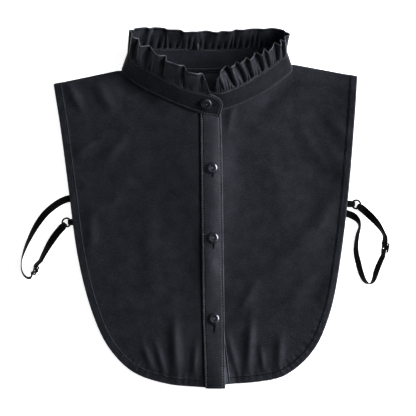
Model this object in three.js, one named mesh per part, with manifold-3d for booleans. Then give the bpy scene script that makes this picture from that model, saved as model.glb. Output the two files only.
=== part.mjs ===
// A detachable collar: a gathered stand-up collar on a buttoned bib, with an elastic strap at
// each side, lying on its back on a table.
//
// Millimetres. X runs to the viewer's right, Y towards the collar, Z up off the table.
// The origin is on the table under the middle of the bib.

import * as THREE from "three";
import { mergeVertices } from "three/addons/utils/BufferGeometryUtils.js";
import Module from "manifold-3d";

const wasm = await Module();
wasm.setup();

// Thicknesses, and the clear space left between layers that lie on each other
const CLOTH = 1.0;
const HEM = 1.5;
const BAND = 1.6;
const RUFFLE = 1.0;
const PLACKET = 1.2;
const ELASTIC = 1.0;
const CLEARANCE = 0.3;

// Levels: the back panel lies on the table, the strap ends lie on it, the fronts on those
const STRAP_END_LEVEL = CLOTH + CLEARANCE + ELASTIC / 2;
const FRONT_BOTTOM = CLOTH + CLEARANCE + ELASTIC + CLEARANCE;
const SHOULDER_DROP = ELASTIC + CLEARANCE;
const SHOULDER_REACH = 16;

// Side and lower edge of each front, from the shoulder tip round to the centre front
const LEFT_EDGE = [
  { x: -153.7, y: 123.6 },
  { x: -147.0, y: 82.0 },
  { x: -138.3, y: 16.0 },
  { x: -129.6, y: -48.8 },
  { x: -116.2, y: -101.3 },
  { x: -100.1, y: -137.0 },
  { x: -75.5, y: -162.7 },
  { x: -40.9, y: -175.0 },
  { x: -2.4, y: -178.5 },
];
const RIGHT_EDGE = [
  { x: 148.4, y: 131.2 },
  { x: 145.2, y: 83.0 },
  { x: 139.4, y: 13.0 },
  { x: 132.6, y: -45.5 },
  { x: 121.5, y: -104.6 },
  { x: 104.0, y: -143.0 },
  { x: 76.0, y: -167.0 },
  { x: 48.0, y: -173.2 },
  { x: 22.9, y: -175.0 },
];
const LEFT_NECK_POINT = { x: -85.9, y: 137.7 };
const RIGHT_NECK_POINT = { x: 81.7, y: 143.7 };
const NECK_TUCK = 2.6; // how far the cloth runs on under the collar band
const CORNER_SHARE = 0.7; // the share of that edge which counts as the side
const HEM_WIDTH = 6.5;
const HEM_STEP = 0.7; // the width of the slope from the hem down to the single cloth
const BACK_INSET = 5; // how far the back panel stops inside the fronts
const FRONT_COLUMNS = 20;
const FRONT_ROWS = 15;
const RELAX_ROUNDS = 60;
const RELAX_SHARE = 0.8; // how far a point moves to the middle of its neighbours in a round
const BACK_STEPS = 22;
const BACK_NECK_STEPS = 24;

// The buttoned edge: the left and right edge of the top placket, from its head to its foot
const PLACKET_LINE = [
  { y: 94.6, left: -7.2, right: 12.6 },
  { y: 41.0, left: -6.6, right: 14.1 },
  { y: -30.0, left: -5.8, right: 14.9 },
  { y: -112.0, left: -4.7, right: 16.1 },
  { y: -179.6, left: -2.4, right: 16.9 },
];
const PLACKET_LAP = 3.2; // how far the left front runs on under the placket
const LAP_START = 0.02; // the share of the centre line over which that lap begins
const LEFT_FRONT_HEAD = 97.2;
const UNDER_PLACKET_INSET = 1.2;
const UNDER_PLACKET_HEAD = 99.4;
const UNDER_PLACKET_FOOT = -175.4;
const UNDER_PLACKET_RIGHT = [
  { x: 12.0, y: 99.4 },
  { x: 13.2, y: -20.0 },
  { x: 14.8, y: -92.0 },
  { x: 17.0, y: -132.0 },
  { x: 22.6, y: -175.4 },
];
const PLACKET_ROWS = 26;

// The collar, a row for each section from the end that lies under, round the back, to the
// end that lies on top: its foot on the bib, its head where the ruffle starts, the ruffle's rim
const COLLAR = [
  { foot: [-10.0, 98.2, 6.7], head: [-10.0, 117.4, 17.7], rim: [-11.0, 131.0, 30.0] },
  { foot: [3.0, 97.2, 6.7], head: [2.5, 115.9, 18.0], rim: [1.0, 128.0, 32.0] },
  { foot: [14.7, 97.8, 6.7], head: [13.0, 115.2, 19.2], rim: [15.0, 137.5, 30.5] },
  { foot: [35.3, 104.7, 6.4], head: [33.0, 122.8, 19.6], rim: [33.5, 144.5, 32.6] },
  { foot: [59.6, 117.6, 5.8], head: [55.5, 136.0, 18.6], rim: [55.5, 154.5, 34.6] },
  { foot: [75.5, 129.0, 5.2], head: [70.5, 146.5, 19.2], rim: [73.0, 164.5, 34.4] },
  { foot: [83.9, 138.2, 4.4], head: [78.2, 152.6, 20.0], rim: [79.0, 171.5, 32.0] },
  { foot: [80.0, 143.6, 2.9], head: [74.5, 158.4, 13.2], rim: [75.0, 175.6, 28.4] },
  { foot: [50.0, 141.0, 2.3], head: [48.0, 160.6, 8.9], rim: [49.0, 177.0, 23.5] },
  { foot: [5.0, 138.0, 2.3], head: [5.0, 159.2, 7.4], rim: [5.0, 174.0, 21.6] },
  { foot: [-45.0, 138.4, 2.3], head: [-43.0, 159.6, 8.4], rim: [-43.0, 177.0, 20.4] },
  { foot: [-80.0, 141.6, 2.9], head: [-75.0, 157.6, 12.8], rim: [-70.5, 178.0, 21.4] },
  { foot: [-85.9, 137.8, 4.4], head: [-79.8, 152.0, 19.6], rim: [-76.5, 175.0, 27.0] },
  { foot: [-81.0, 130.8, 5.2], head: [-75.4, 147.0, 19.0], rim: [-72.0, 168.4, 31.4] },
  { foot: [-70.0, 122.3, 5.8], head: [-65.5, 140.4, 18.2], rim: [-63.5, 160.8, 32.8] },
  { foot: [-51.0, 112.6, 6.4], head: [-48.0, 130.6, 19.2], rim: [-48.5, 151.2, 33.6] },
  { foot: [-27.0, 101.9, 7.4], head: [-26.0, 119.8, 20.2], rim: [-28.5, 140.6, 34.4] },
  { foot: [-9.0, 95.6, 8.3], head: [-9.0, 115.0, 19.4], rim: [-12.5, 133.6, 35.4] },
  { foot: [3.0, 92.4, 8.4], head: [3.0, 112.6, 19.6], rim: [-3.0, 130.6, 36.0] },
  { foot: [11.2, 90.8, 8.4], head: [17.0, 110.0, 20.2], rim: [9.0, 126.0, 36.0] },
];
const LAST_SECTION = COLLAR.length - 1;
const LEFT_NECK_SECTIONS = [12, 17]; // along each front's neckline, from its neck point
const RIGHT_NECK_SECTIONS = [6, 2];
const BACK_NECK_SECTIONS = [8, 11]; // along the back of the neck
const BAND_COLUMNS = 58;
const BAND_ROWS = 2;
const TIP_COLUMNS = 7;
const TIP_SECTION = 17.9; // where the rounded corner of the overlapping end starts
const TIP_SQUARE_SHARE = 0.45; // the share of the band's height that stays square at its very end
const TANGENT_STEP = 0.2; // the part of a section over which the band's direction is read

// The ruffle's folds: how many there are in each stretch, how deep they are at the rim and
// how deep the gathers are at the seam
const RUFFLE_FROM = 1.45;
const RUFFLE_GAP = 0.6;
const RUFFLE_STRETCHES = [
  { to: 5.5, folds: 9, depth: 2.7, gather: 0.8 },
  { to: 8.0, folds: 5, depth: 2.4, gather: 0.7 },
  { to: 12.2, folds: 16, depth: 2.4, gather: 0.8 },
  { to: 14.0, folds: 2.5, depth: 2.6, gather: 0.6 },
  { to: 17.98, folds: 6.5, depth: 3.5, gather: 0.8 },
];
const COLUMNS_PER_FOLD = 5;
const RUFFLE_ROWS = 3;
const FOLD_WANDER = 0.75; // how unevenly the folds are spaced
const FOLD_LEAN = 1.1; // how far the crests lean along the seam, at the rim

// Soft ridges raised in the fronts: puckers above the hem and slack folds from the shoulders
const RIDGES = [
  { x: -58.5, y: -153, length: 13, width: 3.4, lean: 38, height: 1.6 },
  { x: -45.5, y: -152, length: 16, width: 3.2, lean: 20, height: 2.0 },
  { x: -29.0, y: -148, length: 22, width: 4.6, lean: 4, height: 2.3 },
  { x: -14.0, y: -155, length: 14, width: 3.2, lean: -6, height: 1.5 },
  { x: 29.5, y: -153, length: 17, width: 3.4, lean: 6, height: 1.9 },
  { x: 45.5, y: -150, length: 20, width: 3.8, lean: -4, height: 2.1 },
  { x: 57.5, y: -157, length: 12, width: 3.0, lean: -10, height: 1.5 },
  { x: 76.0, y: -146, length: 17, width: 4.0, lean: -14, height: 2.0 },
  { x: -118, y: 62, length: 26, width: 7.0, lean: -55, height: 1.5 },
  { x: -86, y: 84, length: 34, width: 9.0, lean: -50, height: 1.2 },
  { x: 112, y: 68, length: 30, width: 7.0, lean: 34, height: 1.5 },
  { x: 119, y: 26, length: 24, width: 7.0, lean: 44, height: 1.3 },
  { x: 32, y: 40, length: 44, width: 8.0, lean: 4, height: 1.2 },
  { x: -28, y: 74, length: 24, width: 7.0, lean: 12, height: 1.2 },
  { x: 62, y: -76, length: 34, width: 12.0, lean: -40, height: 0.8 },
];
const NECK_RISE = 1.7; // how far the stiff collar lifts the cloth at the centre front
const NECK_REACH = 26;
const NECK_HALF_WIDTH = 84;

// Buttons, each with its thread shank through the buttonhole
const BUTTON_RADIUS = 5.75;
const BUTTON_HEIGHT = 2.4;
const RIM_WIDTH = 1.3;
const DISH_DEPTH = 0.8;
const BUTTON_PROFILE = [
  // from the underside up: how far inside the full radius, and how high
  { inset: 1.0, z: 0 },
  { inset: 0, z: 0.9 },
  { inset: 0.35, z: BUTTON_HEIGHT - 0.3 },
  { inset: 0.8, z: BUTTON_HEIGHT },
];
const BUTTON_SIDES = 16;
const SEW_HOLE_RADIUS = 0.95;
const SEW_HOLE_SPACING = 4.0;
const SEW_HOLE_FLOOR = 0.6; // how much of the button is left under a hole
const SEW_HOLE_SIDES = 6;
const SHANK_RADIUS = 1.0;
const BUTTONHOLE_WIDTH = 0.9;
const BUTTONHOLE_EYE = 1.4;
const BUTTONHOLE_EYE_SIDES = 10;
const PLACKET_BUTTONS = [
  { name: "placket_button_upper", x: 4.2, y: 39.8, slit: 8.5 },
  { name: "placket_button_middle", x: 5.2, y: -29.7, slit: 10 },
  { name: "placket_button_lower", x: 6.1, y: -110.4, slit: 13.6 },
];
const COLLAR_BUTTON = { section: 17.62, share: 0.54, slit: 7.5, holesTurn: 25 };
const COLLAR_SHANK = 1.9;
const PLACKET_SHANK = HEM + CLEARANCE; // ends just above the under placket

// Elastic straps: the plan of the middle line from the back panel to the ring, the turn about
// that line (0 flat, 90 on edge, 180 turned over) and the lift off the table
const STRAP_WIDTH = 7.1;
const STRAP_STEP = 3.4;
const DIVISIONS_PER_ROW = 30;
const LEFT_STRAP = [
  { x: -124.0, y: 9.4, turn: 0, lift: 1.3 },
  { x: -134.0, y: 9.9, turn: 0, lift: 1.3 },
  { x: -142.5, y: 8.4, turn: 3, lift: 0.8 },
  { x: -152.5, y: 3.0, turn: 8, lift: 0.2 },
  { x: -162.5, y: -5.6, turn: 16, lift: 0.2 },
  { x: -171.0, y: -17.0, turn: 32, lift: 0.2 },
  { x: -178.0, y: -30.0, turn: 52, lift: 0.2 },
  { x: -183.2, y: -42.0, turn: 70, lift: 0.2 },
  { x: -186.2, y: -53.0, turn: 84, lift: 0.2 },
  { x: -185.8, y: -62.6, turn: 90, lift: 0.6 },
  { x: -181.6, y: -69.0, turn: 98, lift: 1.2 },
  { x: -177.0, y: -69.4, turn: 110, lift: 1.8 },
  { x: -174.6, y: -66.4, turn: 112, lift: 2.2 },
  { x: -172.1, y: -62.1, turn: 112, lift: 2.2 },
  { x: -169.6, y: -57.8, turn: 112, lift: 2.2 },
  { x: -164.6, y: -47.6, turn: 120, lift: 1.6 },
  { x: -158.6, y: -36.6, turn: 142, lift: 1.2 },
  { x: -151.8, y: -26.4, turn: 168, lift: 0.9 },
];
const RIGHT_STRAP = [
  { x: 122.0, y: -5.0, turn: 0, lift: 1.3 },
  { x: 131.0, y: -5.0, turn: 0, lift: 1.3 },
  { x: 139.0, y: -5.6, turn: 2, lift: 0.9 },
  { x: 145.6, y: -8.4, turn: 20, lift: 0.4 },
  { x: 149.8, y: -12.4, turn: 50, lift: 0.3 },
  { x: 151.4, y: -18.0, turn: 76, lift: 0.3 },
  { x: 149.4, y: -26.4, turn: 66, lift: 0.2 },
  { x: 148.0, y: -35.0, turn: 60, lift: 0.2 },
  { x: 148.0, y: -44.4, turn: 48, lift: 0.2 },
  { x: 150.2, y: -55.0, turn: 42, lift: 0.2 },
  { x: 153.2, y: -65.8, turn: 46, lift: 0.2 },
  { x: 157.0, y: -73.2, turn: 64, lift: 0.2 },
  { x: 161.6, y: -75.6, turn: 92, lift: 0.6 },
  { x: 165.2, y: -72.0, turn: 118, lift: 1.2 },
  { x: 168.4, y: -62.3, turn: 136, lift: 1.8 },
  { x: 172.9, y: -51.2, turn: 130, lift: 2.4 },
  { x: 176.0, y: -44.9, turn: 126, lift: 3.0 },
  { x: 176.9, y: -39.5, turn: 126, lift: 3.0 },
  { x: 177.8, y: -34.1, turn: 126, lift: 3.0 },
  { x: 175.2, y: -25.4, turn: 103, lift: 3.4 },
  { x: 168.2, y: -14.6, turn: 132, lift: 3.2 },
  { x: 160.6, y: -6.6, turn: 160, lift: 2.2 },
  { x: 155.4, y: -1.8, turn: 174, lift: 1.2 },
];
const SLIDER_PITCH = 4.2; // from the slider's middle bar to each outer bar
const SLIDER_BAR = 1.2;
const SLIDER_SIDE_PLAY = 0.4;
const SLIDER_CORNER = 0.8; // its cut corners, as a share of a bar
const SLIDER_PAST = 0.75; // how far past an outer bar's middle a layer stays level, as a share of a bar
const SLIDER_APPROACH = 4; // the run over which a layer moves aside before the slider
const SLIDER_DEPARTURE = 6; // and after it
const BAR_CROSSING = 0.9; // how far before and after the middle bar the upper layer is over it
const STRAP_END = { wrapFrom: 0.7, wrapTo: 0.6, stepIn: 0.4 }; // the end lies on the middle bar
const RING_START = 1; // where the layers part at the ring, before its wire
const RING_RADIUS = 4.25;
const RING_WIRE = 0.95;
const RING_LEVEL = 2.5;
const RING_STEPS = 18;
const RING_SIDES = 6;
const RING_TAPER = 9; // the layers part over this length before the ring
const WIDTH_IN_RING = 4.7;
const LOOP_REACH = 0.8; // how far past the wire the loop turns, because the wire curves away
const LOOP_STEPS = 6;
const LOOP_RADIUS = RING_WIRE + 0.35 + ELASTIC / 2;
const BAR_OFFSET = SLIDER_BAR / 2 + CLEARANCE + ELASTIC / 2;
const LAYER_PITCH = ELASTIC + CLEARANCE;
const TAB_WIDTH = 6.6;
const TAB_TAIL = 1.2; // the tab's end stops this far outside the hem
const TAB_TURN = { before: 1.5, after: 0.5 }; // where the tab's turn round the wire starts and ends
const LEFT_SIDE = {
  name: "left",
  strap: LEFT_STRAP,
  ring: { x: -141.4, y: -14.4 },
  tabRoot: { x: -124.5, y: -13.2 },
  hemAt: -134.6,
  sliderRow: 13,
};
const RIGHT_SIDE = {
  name: "right",
  strap: RIGHT_STRAP,
  ring: { x: 148.2, y: 3.6 },
  tabRoot: { x: 128.0, y: 5.0 },
  hemAt: 138.4,
  sliderRow: 17,
};

// Finishes
const CLOTH_COLOUR = 0x1d1f24;
const BUTTON_COLOUR = 0x141416;
const ELASTIC_COLOUR = 0x101113;
const METAL_COLOUR = 0x16171a;
const clothFinish = { color: CLOTH_COLOUR, roughness: 0.85, metalness: 0 };
const buttonFinish = { color: BUTTON_COLOUR, roughness: 0.25, metalness: 0 };
const elasticFinish = { color: ELASTIC_COLOUR, roughness: 0.7, metalness: 0 };
const metalFinish = { color: METAL_COLOUR, roughness: 0.35, metalness: 0.6 };

const { degToRad, lerp, smoothstep } = THREE.MathUtils;

// A smooth curve through points given as [x, y, z], or through rows that hold x and y
function curveThrough(points) {
  const vectors = points.map((point) => new THREE.Vector3(...point));
  return new THREE.CatmullRomCurve3(vectors, false, "centripetal");
}

function planCurve(rows) {
  return curveThrough(rows.map((row) => [row.x, row.y, 0]));
}

function planPoint(point) {
  return new THREE.Vector3(point.x, point.y, 0);
}

const footCurve = curveThrough(COLLAR.map((row) => row.foot));
const headCurve = curveThrough(COLLAR.map((row) => row.head));
const rimCurve = curveThrough(COLLAR.map((row) => row.rim));

// A table's value at a place along its first column, on straight lines between the rows
function tableValue(rows, key, place, column) {
  const direction = Math.sign(rows[rows.length - 1][key] - rows[0][key]);
  let next = rows.findIndex((row) => direction * (row[key] - place) >= 0);
  if (next < 0) next = rows.length - 1;
  next = Math.max(next, 1);
  const from = rows[next - 1];
  const to = rows[next];
  return lerp(from[column], to[column], (place - from[key]) / (to[key] - from[key]));
}

// Quads of a grid whose point numbers the function `at` gives
function gridQuads(columns, rows, at) {
  const quads = [];
  for (let i = 0; i < columns; i += 1) {
    for (let j = 0; j < rows; j += 1) {
      quads.push([at(i, j), at(i + 1, j), at(i + 1, j + 1), at(i, j + 1)]);
    }
  }
  return quads;
}

// The direction in which a sheet faces at each of its points
function sheetDirections(points, quads) {
  const directions = points.map(() => new THREE.Vector3());
  for (const [a, b, c, d] of quads) {
    const across = points[c].clone().sub(points[a]);
    const face = across.cross(points[d].clone().sub(points[b]));
    for (const corner of [a, b, c, d]) directions[corner].add(face);
  }
  return directions.map((direction) => direction.normalize());
}

// A closed wall: each point of the sheet is parted into a face above and a face below, and
// the sheet's borders are closed by a strip between the two
function thicken(points, quads, thickness, directions) {
  const position = [];
  points.forEach((point, i) => {
    const half = directions[i].clone().multiplyScalar(thickness[i] / 2);
    position.push(...point.clone().add(half).toArray());
    position.push(...point.clone().sub(half).toArray());
  });
  const index = [];
  const border = new Map();
  for (const [a, b, c, d] of quads) {
    index.push(2 * a, 2 * b, 2 * c, 2 * a, 2 * c, 2 * d);
    index.push(2 * a + 1, 2 * c + 1, 2 * b + 1, 2 * a + 1, 2 * d + 1, 2 * c + 1);
    for (const [from, to] of [[a, b], [b, c], [c, d], [d, a]]) {
      if (!border.delete(`${to},${from}`)) border.set(`${from},${to}`, [from, to]);
    }
  }
  for (const [from, to] of border.values()) {
    index.push(2 * from + 1, 2 * to + 1, 2 * to, 2 * from + 1, 2 * to, 2 * from);
  }
  const geometry = new THREE.BufferGeometry();
  geometry.setAttribute("position", new THREE.Float32BufferAttribute(position, 3));
  geometry.setIndex(index);
  return geometry;
}

function asSolid(geometry) {
  const bare = geometry.clone();
  bare.deleteAttribute("normal");
  bare.deleteAttribute("uv");
  const merged = mergeVertices(bare, 1e-4);
  const vertProperties = new Float32Array(merged.attributes.position.array);
  const triVerts = new Uint32Array(merged.index.array);
  return new wasm.Manifold(new wasm.Mesh({ numProp: 3, vertProperties, triVerts }));
}

function asGeometry(solid) {
  const mesh = solid.getMesh();
  const geometry = new THREE.BufferGeometry();
  const position = new THREE.BufferAttribute(new Float32Array(mesh.vertProperties), 3);
  geometry.setAttribute("position", position);
  geometry.setIndex(new THREE.BufferAttribute(new Uint32Array(mesh.triVerts), 1));
  return geometry;
}

function cut(geometry, cutters) {
  const solid = cutters.reduce((rest, cutter) => rest.subtract(asSolid(cutter)), asSolid(geometry));
  return asGeometry(solid);
}

function piece(name, geometry, finish) {
  geometry.computeVertexNormals();
  const mesh = new THREE.Mesh(geometry, new THREE.MeshStandardMaterial(finish));
  mesh.name = name;
  return mesh;
}

// How far the cloth of the fronts stands above the level at which it would lie flat
const footPlan = footCurve.getPoints(120).map((point) => new THREE.Vector2(point.x, point.y));
const leftShoulder = [LEFT_EDGE[0], LEFT_NECK_POINT];
const rightShoulder = [RIGHT_NECK_POINT, RIGHT_EDGE[0]];

function depthBelow([from, to], x, y) {
  const length = Math.hypot(to.x - from.x, to.y - from.y);
  return ((x - from.x) * (to.y - from.y) - (y - from.y) * (to.x - from.x)) / length;
}

function neckLift(x, y) {
  const here = new THREE.Vector2(x, y);
  const away = Math.min(...footPlan.map((point) => point.distanceTo(here)));
  const side = Math.max(0, 1 - (x / NECK_HALF_WIDTH) ** 4);
  return NECK_RISE * side * Math.exp(-((away / NECK_REACH) ** 2));
}

function ridgeLift(x, y) {
  return RIDGES.reduce((lift, ridge) => {
    const lean = degToRad(ridge.lean);
    const along = (y - ridge.y) * Math.cos(lean) + (x - ridge.x) * Math.sin(lean);
    const across = (x - ridge.x) * Math.cos(lean) - (y - ridge.y) * Math.sin(lean);
    const fade = (along / ridge.length) ** 2 + (across / ridge.width) ** 2;
    return lift + ridge.height * Math.exp(-fade);
  }, 0);
}

function frontLift(x, y) {
  const shoulder = x < 0 ? leftShoulder : rightShoulder;
  const drop = 1 - smoothstep(depthBelow(shoulder, x, y), 0, SHOULDER_REACH);
  return neckLift(x, y) + ridgeLift(x, y) - SHOULDER_DROP * drop;
}

// Front panels

// The edge of a front and lines inside it: depth 0 is the edge itself
function edgeLine(edge, neckPoint, footInward, depth) {
  const curve = planCurve(edge);
  const tip = planPoint(edge[0]);
  const alongShoulder = planPoint(neckPoint).sub(tip).normalize();
  const turn = Math.sign(edge[0].x) * -1;
  return (share) => {
    if (share <= 0) return tip.clone().addScaledVector(alongShoulder, depth);
    const at = curve.getPointAt(Math.min(share, 1));
    if (share >= 1) return at.addScaledVector(footInward, depth);
    const tangent = curve.getTangentAt(share);
    return at.add(new THREE.Vector3(-tangent.y * turn, tangent.x * turn, 0).multiplyScalar(depth));
  };
}

// Steps that are closer together at both ends
function easedShare(step, steps) {
  const share = step / steps;
  return (share + 0.5 - 0.5 * Math.cos(Math.PI * share)) / 2;
}

// Points along the shoulder, then along the neckline to the centre front
function topLine(from, neckPoint, neckline) {
  const shoulderLength = from.distanceTo(neckPoint);
  const total = shoulderLength + neckline.getLength();
  const shoulderSteps = Math.round((FRONT_COLUMNS * shoulderLength) / total);
  return (column) => {
    if (column <= shoulderSteps) {
      return from.clone().lerp(neckPoint, column / shoulderSteps);
    }
    return neckline.getPointAt((column - shoulderSteps) / (FRONT_COLUMNS - shoulderSteps));
  };
}

// The foot of the collar between two sections, moved in under the band
function necklineUnder(neckPoint, [fromSection, toSection], centreHead) {
  const rows = [[neckPoint.x, neckPoint.y, 0]];
  const step = Math.sign(toSection - fromSection);
  for (let section = fromSection + step; section !== toSection; section += step) {
    const foot = planPoint(footCurve.getPoint(section / LAST_SECTION));
    const head = planPoint(headCurve.getPoint(section / LAST_SECTION));
    const inward = head.sub(foot).normalize();
    rows.push(foot.addScaledVector(inward, NECK_TUCK).toArray());
  }
  rows.push([centreHead.x, centreHead.y, 0]);
  return curveThrough(rows);
}

function frontPanel({ edge, neckPoint, neckline, centreLine }) {
  const footInward = centreLine(0.05).sub(centreLine(0)).normalize();
  const depths = [0, HEM_WIDTH - HEM_STEP, HEM_WIDTH];
  const lines = depths.map((depth) => edgeLine(edge, neckPoint, footInward, depth));
  const inner = lines[depths.length - 1];
  const top = topLine(inner(0), planPoint(neckPoint), neckline);
  const footStart = inner(1);
  const footShare = HEM_WIDTH / centreLine(0).distanceTo(centreLine(1));

  const sideShare = (row) => CORNER_SHARE * (1 - easedShare(row, FRONT_ROWS));
  const lowerShare = (column) => lerp(CORNER_SHARE, 1, column / FRONT_COLUMNS);
  const centre = (row) => centreLine(lerp(footShare, 1, easedShare(row, FRONT_ROWS)));

  // A patch between its four sides, then evened out
  const at = (column, row) => column * (FRONT_ROWS + 1) + row;
  const points = [];
  for (let column = 0; column <= FRONT_COLUMNS; column += 1) {
    for (let row = 0; row <= FRONT_ROWS; row += 1) {
      const u = column / FRONT_COLUMNS;
      const v = easedShare(row, FRONT_ROWS);
      const point = new THREE.Vector3();
      point.addScaledVector(inner(sideShare(row)), 1 - u);
      point.addScaledVector(centre(row), u);
      point.addScaledVector(inner(lowerShare(column)), 1 - v);
      point.addScaledVector(top(column), v);
      point.addScaledVector(inner(CORNER_SHARE), -(1 - u) * (1 - v));
      point.addScaledVector(footStart, -u * (1 - v));
      point.addScaledVector(inner(0), -(1 - u) * v);
      point.addScaledVector(centre(FRONT_ROWS), -u * v);
      points.push(point);
    }
  }
  for (let round = 0; round < RELAX_ROUNDS; round += 1) {
    for (let column = 1; column < FRONT_COLUMNS; column += 1) {
      for (let row = 1; row < FRONT_ROWS; row += 1) {
        const mean = new THREE.Vector3();
        mean.add(points[at(column - 1, row)]).add(points[at(column + 1, row)]);
        mean.add(points[at(column, row - 1)]).add(points[at(column, row + 1)]);
        points[at(column, row)].lerp(mean.multiplyScalar(0.25), RELAX_SHARE);
      }
    }
  }
  const quads = gridQuads(FRONT_COLUMNS, FRONT_ROWS, at);
  const thickness = points.map(() => CLOTH);

  // The hem: two more lines outside the patch, thicker than the single cloth
  const steps = FRONT_ROWS + FRONT_COLUMNS;
  const onSide = (step) => step <= FRONT_ROWS;
  const innerNumber = (step) => (onSide(step) ? at(0, FRONT_ROWS - step) : at(step - FRONT_ROWS, 0));
  const share = (step) =>
    onSide(step) ? sideShare(FRONT_ROWS - step) : lowerShare(step - FRONT_ROWS);
  const hemFirst = points.length;
  for (let step = 0; step <= steps; step += 1) {
    points.push(lines[0](share(step)), lines[1](share(step)));
    thickness.push(HEM, HEM);
  }
  const hemNumber = (step, line) => (line === 2 ? innerNumber(step) : hemFirst + 2 * step + line);
  quads.push(...gridQuads(steps, 2, hemNumber));

  for (let i = 0; i < points.length; i += 1) {
    points[i].z = FRONT_BOTTOM + thickness[i] / 2 + frontLift(points[i].x, points[i].y);
  }
  const up = points.map(() => new THREE.Vector3(0, 0, 1));
  const facing = edge[0].x < 0 ? quads : quads.map((quad) => [...quad].reverse());
  return thicken(points, facing, thickness, up);
}

const plackets = {
  left: (y) => tableValue(PLACKET_LINE, "y", y, "left"),
  right: (y) => tableValue(PLACKET_LINE, "y", y, "right"),
};
const underPlacketRight = (y) => tableValue(UNDER_PLACKET_RIGHT, "y", y, "x");

const leftHead = { x: plackets.left(LEFT_FRONT_HEAD) + PLACKET_LAP, y: LEFT_FRONT_HEAD };
const leftFront = frontPanel({
  edge: LEFT_EDGE,
  neckPoint: LEFT_NECK_POINT,
  neckline: necklineUnder(LEFT_NECK_POINT, LEFT_NECK_SECTIONS, leftHead),
  centreLine: (share) => {
    const y = lerp(LEFT_EDGE[LEFT_EDGE.length - 1].y, LEFT_FRONT_HEAD, share);
    const lap = lerp(0, PLACKET_LAP, smoothstep(share, 0, LAP_START));
    return new THREE.Vector3(plackets.left(y) + lap, y, 0);
  },
});

const rightHead = { x: underPlacketRight(UNDER_PLACKET_HEAD) + CLEARANCE, y: UNDER_PLACKET_HEAD };
const rightFront = frontPanel({
  edge: RIGHT_EDGE,
  neckPoint: RIGHT_NECK_POINT,
  neckline: necklineUnder(RIGHT_NECK_POINT, RIGHT_NECK_SECTIONS, rightHead),
  centreLine: (share) => {
    const y = lerp(RIGHT_EDGE[RIGHT_EDGE.length - 1].y, UNDER_PLACKET_HEAD, share);
    return new THREE.Vector3(underPlacketRight(y) + CLEARANCE, y, 0);
  },
});

// Back panel: one flat sheet, the only piece that rests on the table all over
function backPanel() {
  const inset = (edge, neckPoint) => {
    const line = edgeLine(edge, neckPoint, new THREE.Vector3(0, 1, 0), BACK_INSET);
    const corners = [planPoint(edge[0])];
    for (let step = 1; step <= BACK_STEPS; step += 1) corners.push(line(step / BACK_STEPS));
    return corners;
  };
  const left = inset(LEFT_EDGE, LEFT_NECK_POINT);
  const right = inset(RIGHT_EDGE, RIGHT_NECK_POINT);
  const [firstSection, lastSection] = BACK_NECK_SECTIONS;
  const neck = curveThrough([
    [RIGHT_NECK_POINT.x, RIGHT_NECK_POINT.y, 0],
    ...COLLAR.slice(firstSection, lastSection + 1).map(({ foot: [x, y] }) => [x, y + NECK_TUCK, 0]),
    [LEFT_NECK_POINT.x, LEFT_NECK_POINT.y, 0],
  ]).getPoints(BACK_NECK_STEPS);
  const outline = [...left, ...right.reverse(), ...neck];
  const shape = new THREE.Shape(outline.map((point) => new THREE.Vector2(point.x, point.y)));
  return new THREE.ExtrudeGeometry(shape, { depth: CLOTH, bevelEnabled: false });
}

// A strip of even thickness that lies along the button line
function strip({ fromY, toY, left, right, bottom, columns }) {
  const points = [];
  for (let row = 0; row <= PLACKET_ROWS; row += 1) {
    const y = lerp(fromY, toY, easedShare(row, PLACKET_ROWS));
    for (let column = 0; column <= columns; column += 1) {
      const x = lerp(left(y), right(y), column / columns);
      points.push(new THREE.Vector3(x, y, bottom + PLACKET / 2 + frontLift(x, y)));
    }
  }
  const quads = gridQuads(columns, PLACKET_ROWS, (i, j) => j * (columns + 1) + i);
  const up = points.map(() => new THREE.Vector3(0, 0, 1));
  return thicken(points, quads, points.map(() => PLACKET), up);
}

const underPlacket = strip({
  fromY: UNDER_PLACKET_FOOT,
  toY: UNDER_PLACKET_HEAD,
  left: (y) => plackets.left(y) + PLACKET_LAP + UNDER_PLACKET_INSET,
  right: underPlacketRight,
  bottom: FRONT_BOTTOM,
  columns: 2,
});
const topPlacketBottom = FRONT_BOTTOM + HEM + CLEARANCE;
const topPlacket = strip({
  fromY: PLACKET_LINE[PLACKET_LINE.length - 1].y,
  toY: PLACKET_LINE[0].y,
  left: plackets.left,
  right: plackets.right,
  bottom: topPlacketBottom,
  columns: 2,
});

// A buttonhole's cutters: a slot, and a round eye where the thread shank passes
function buttonholeCutters(slit) {
  const slot = new THREE.BoxGeometry(BUTTONHOLE_WIDTH, slit, 3 * BAND);
  slot.translate(0, -slit / 2, 0);
  const radius = BUTTONHOLE_EYE;
  const eye = new THREE.CylinderGeometry(radius, radius, 3 * BAND, BUTTONHOLE_EYE_SIDES);
  eye.rotateX(Math.PI / 2);
  return [slot, eye];
}

// A two-hole button with a raised rim, its underside at z = 0, and its thread shank below
function button(shankLength, holesTurn) {
  const face = BUTTON_RADIUS - RIM_WIDTH;
  const profile = [
    [0, -shankLength],
    [SHANK_RADIUS, -shankLength],
    [SHANK_RADIUS, 0],
    ...BUTTON_PROFILE.map(({ inset, z }) => [BUTTON_RADIUS - inset, z]),
    [face, BUTTON_HEIGHT - DISH_DEPTH],
    [0, BUTTON_HEIGHT - DISH_DEPTH],
  ].map(([x, y]) => new THREE.Vector2(x, y));
  const body = new THREE.LatheGeometry(profile, BUTTON_SIDES);
  body.rotateX(Math.PI / 2);
  const holes = [-1, 1].map((side) => {
    const radius = SEW_HOLE_RADIUS;
    const hole = new THREE.CylinderGeometry(radius, radius, BUTTON_HEIGHT, SEW_HOLE_SIDES);
    hole.rotateX(Math.PI / 2);
    hole.translate(0, (side * SEW_HOLE_SPACING) / 2, BUTTON_HEIGHT / 2 + SEW_HOLE_FLOOR);
    return hole.rotateZ(degToRad(holesTurn));
  });
  return cut(body, holes);
}

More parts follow.
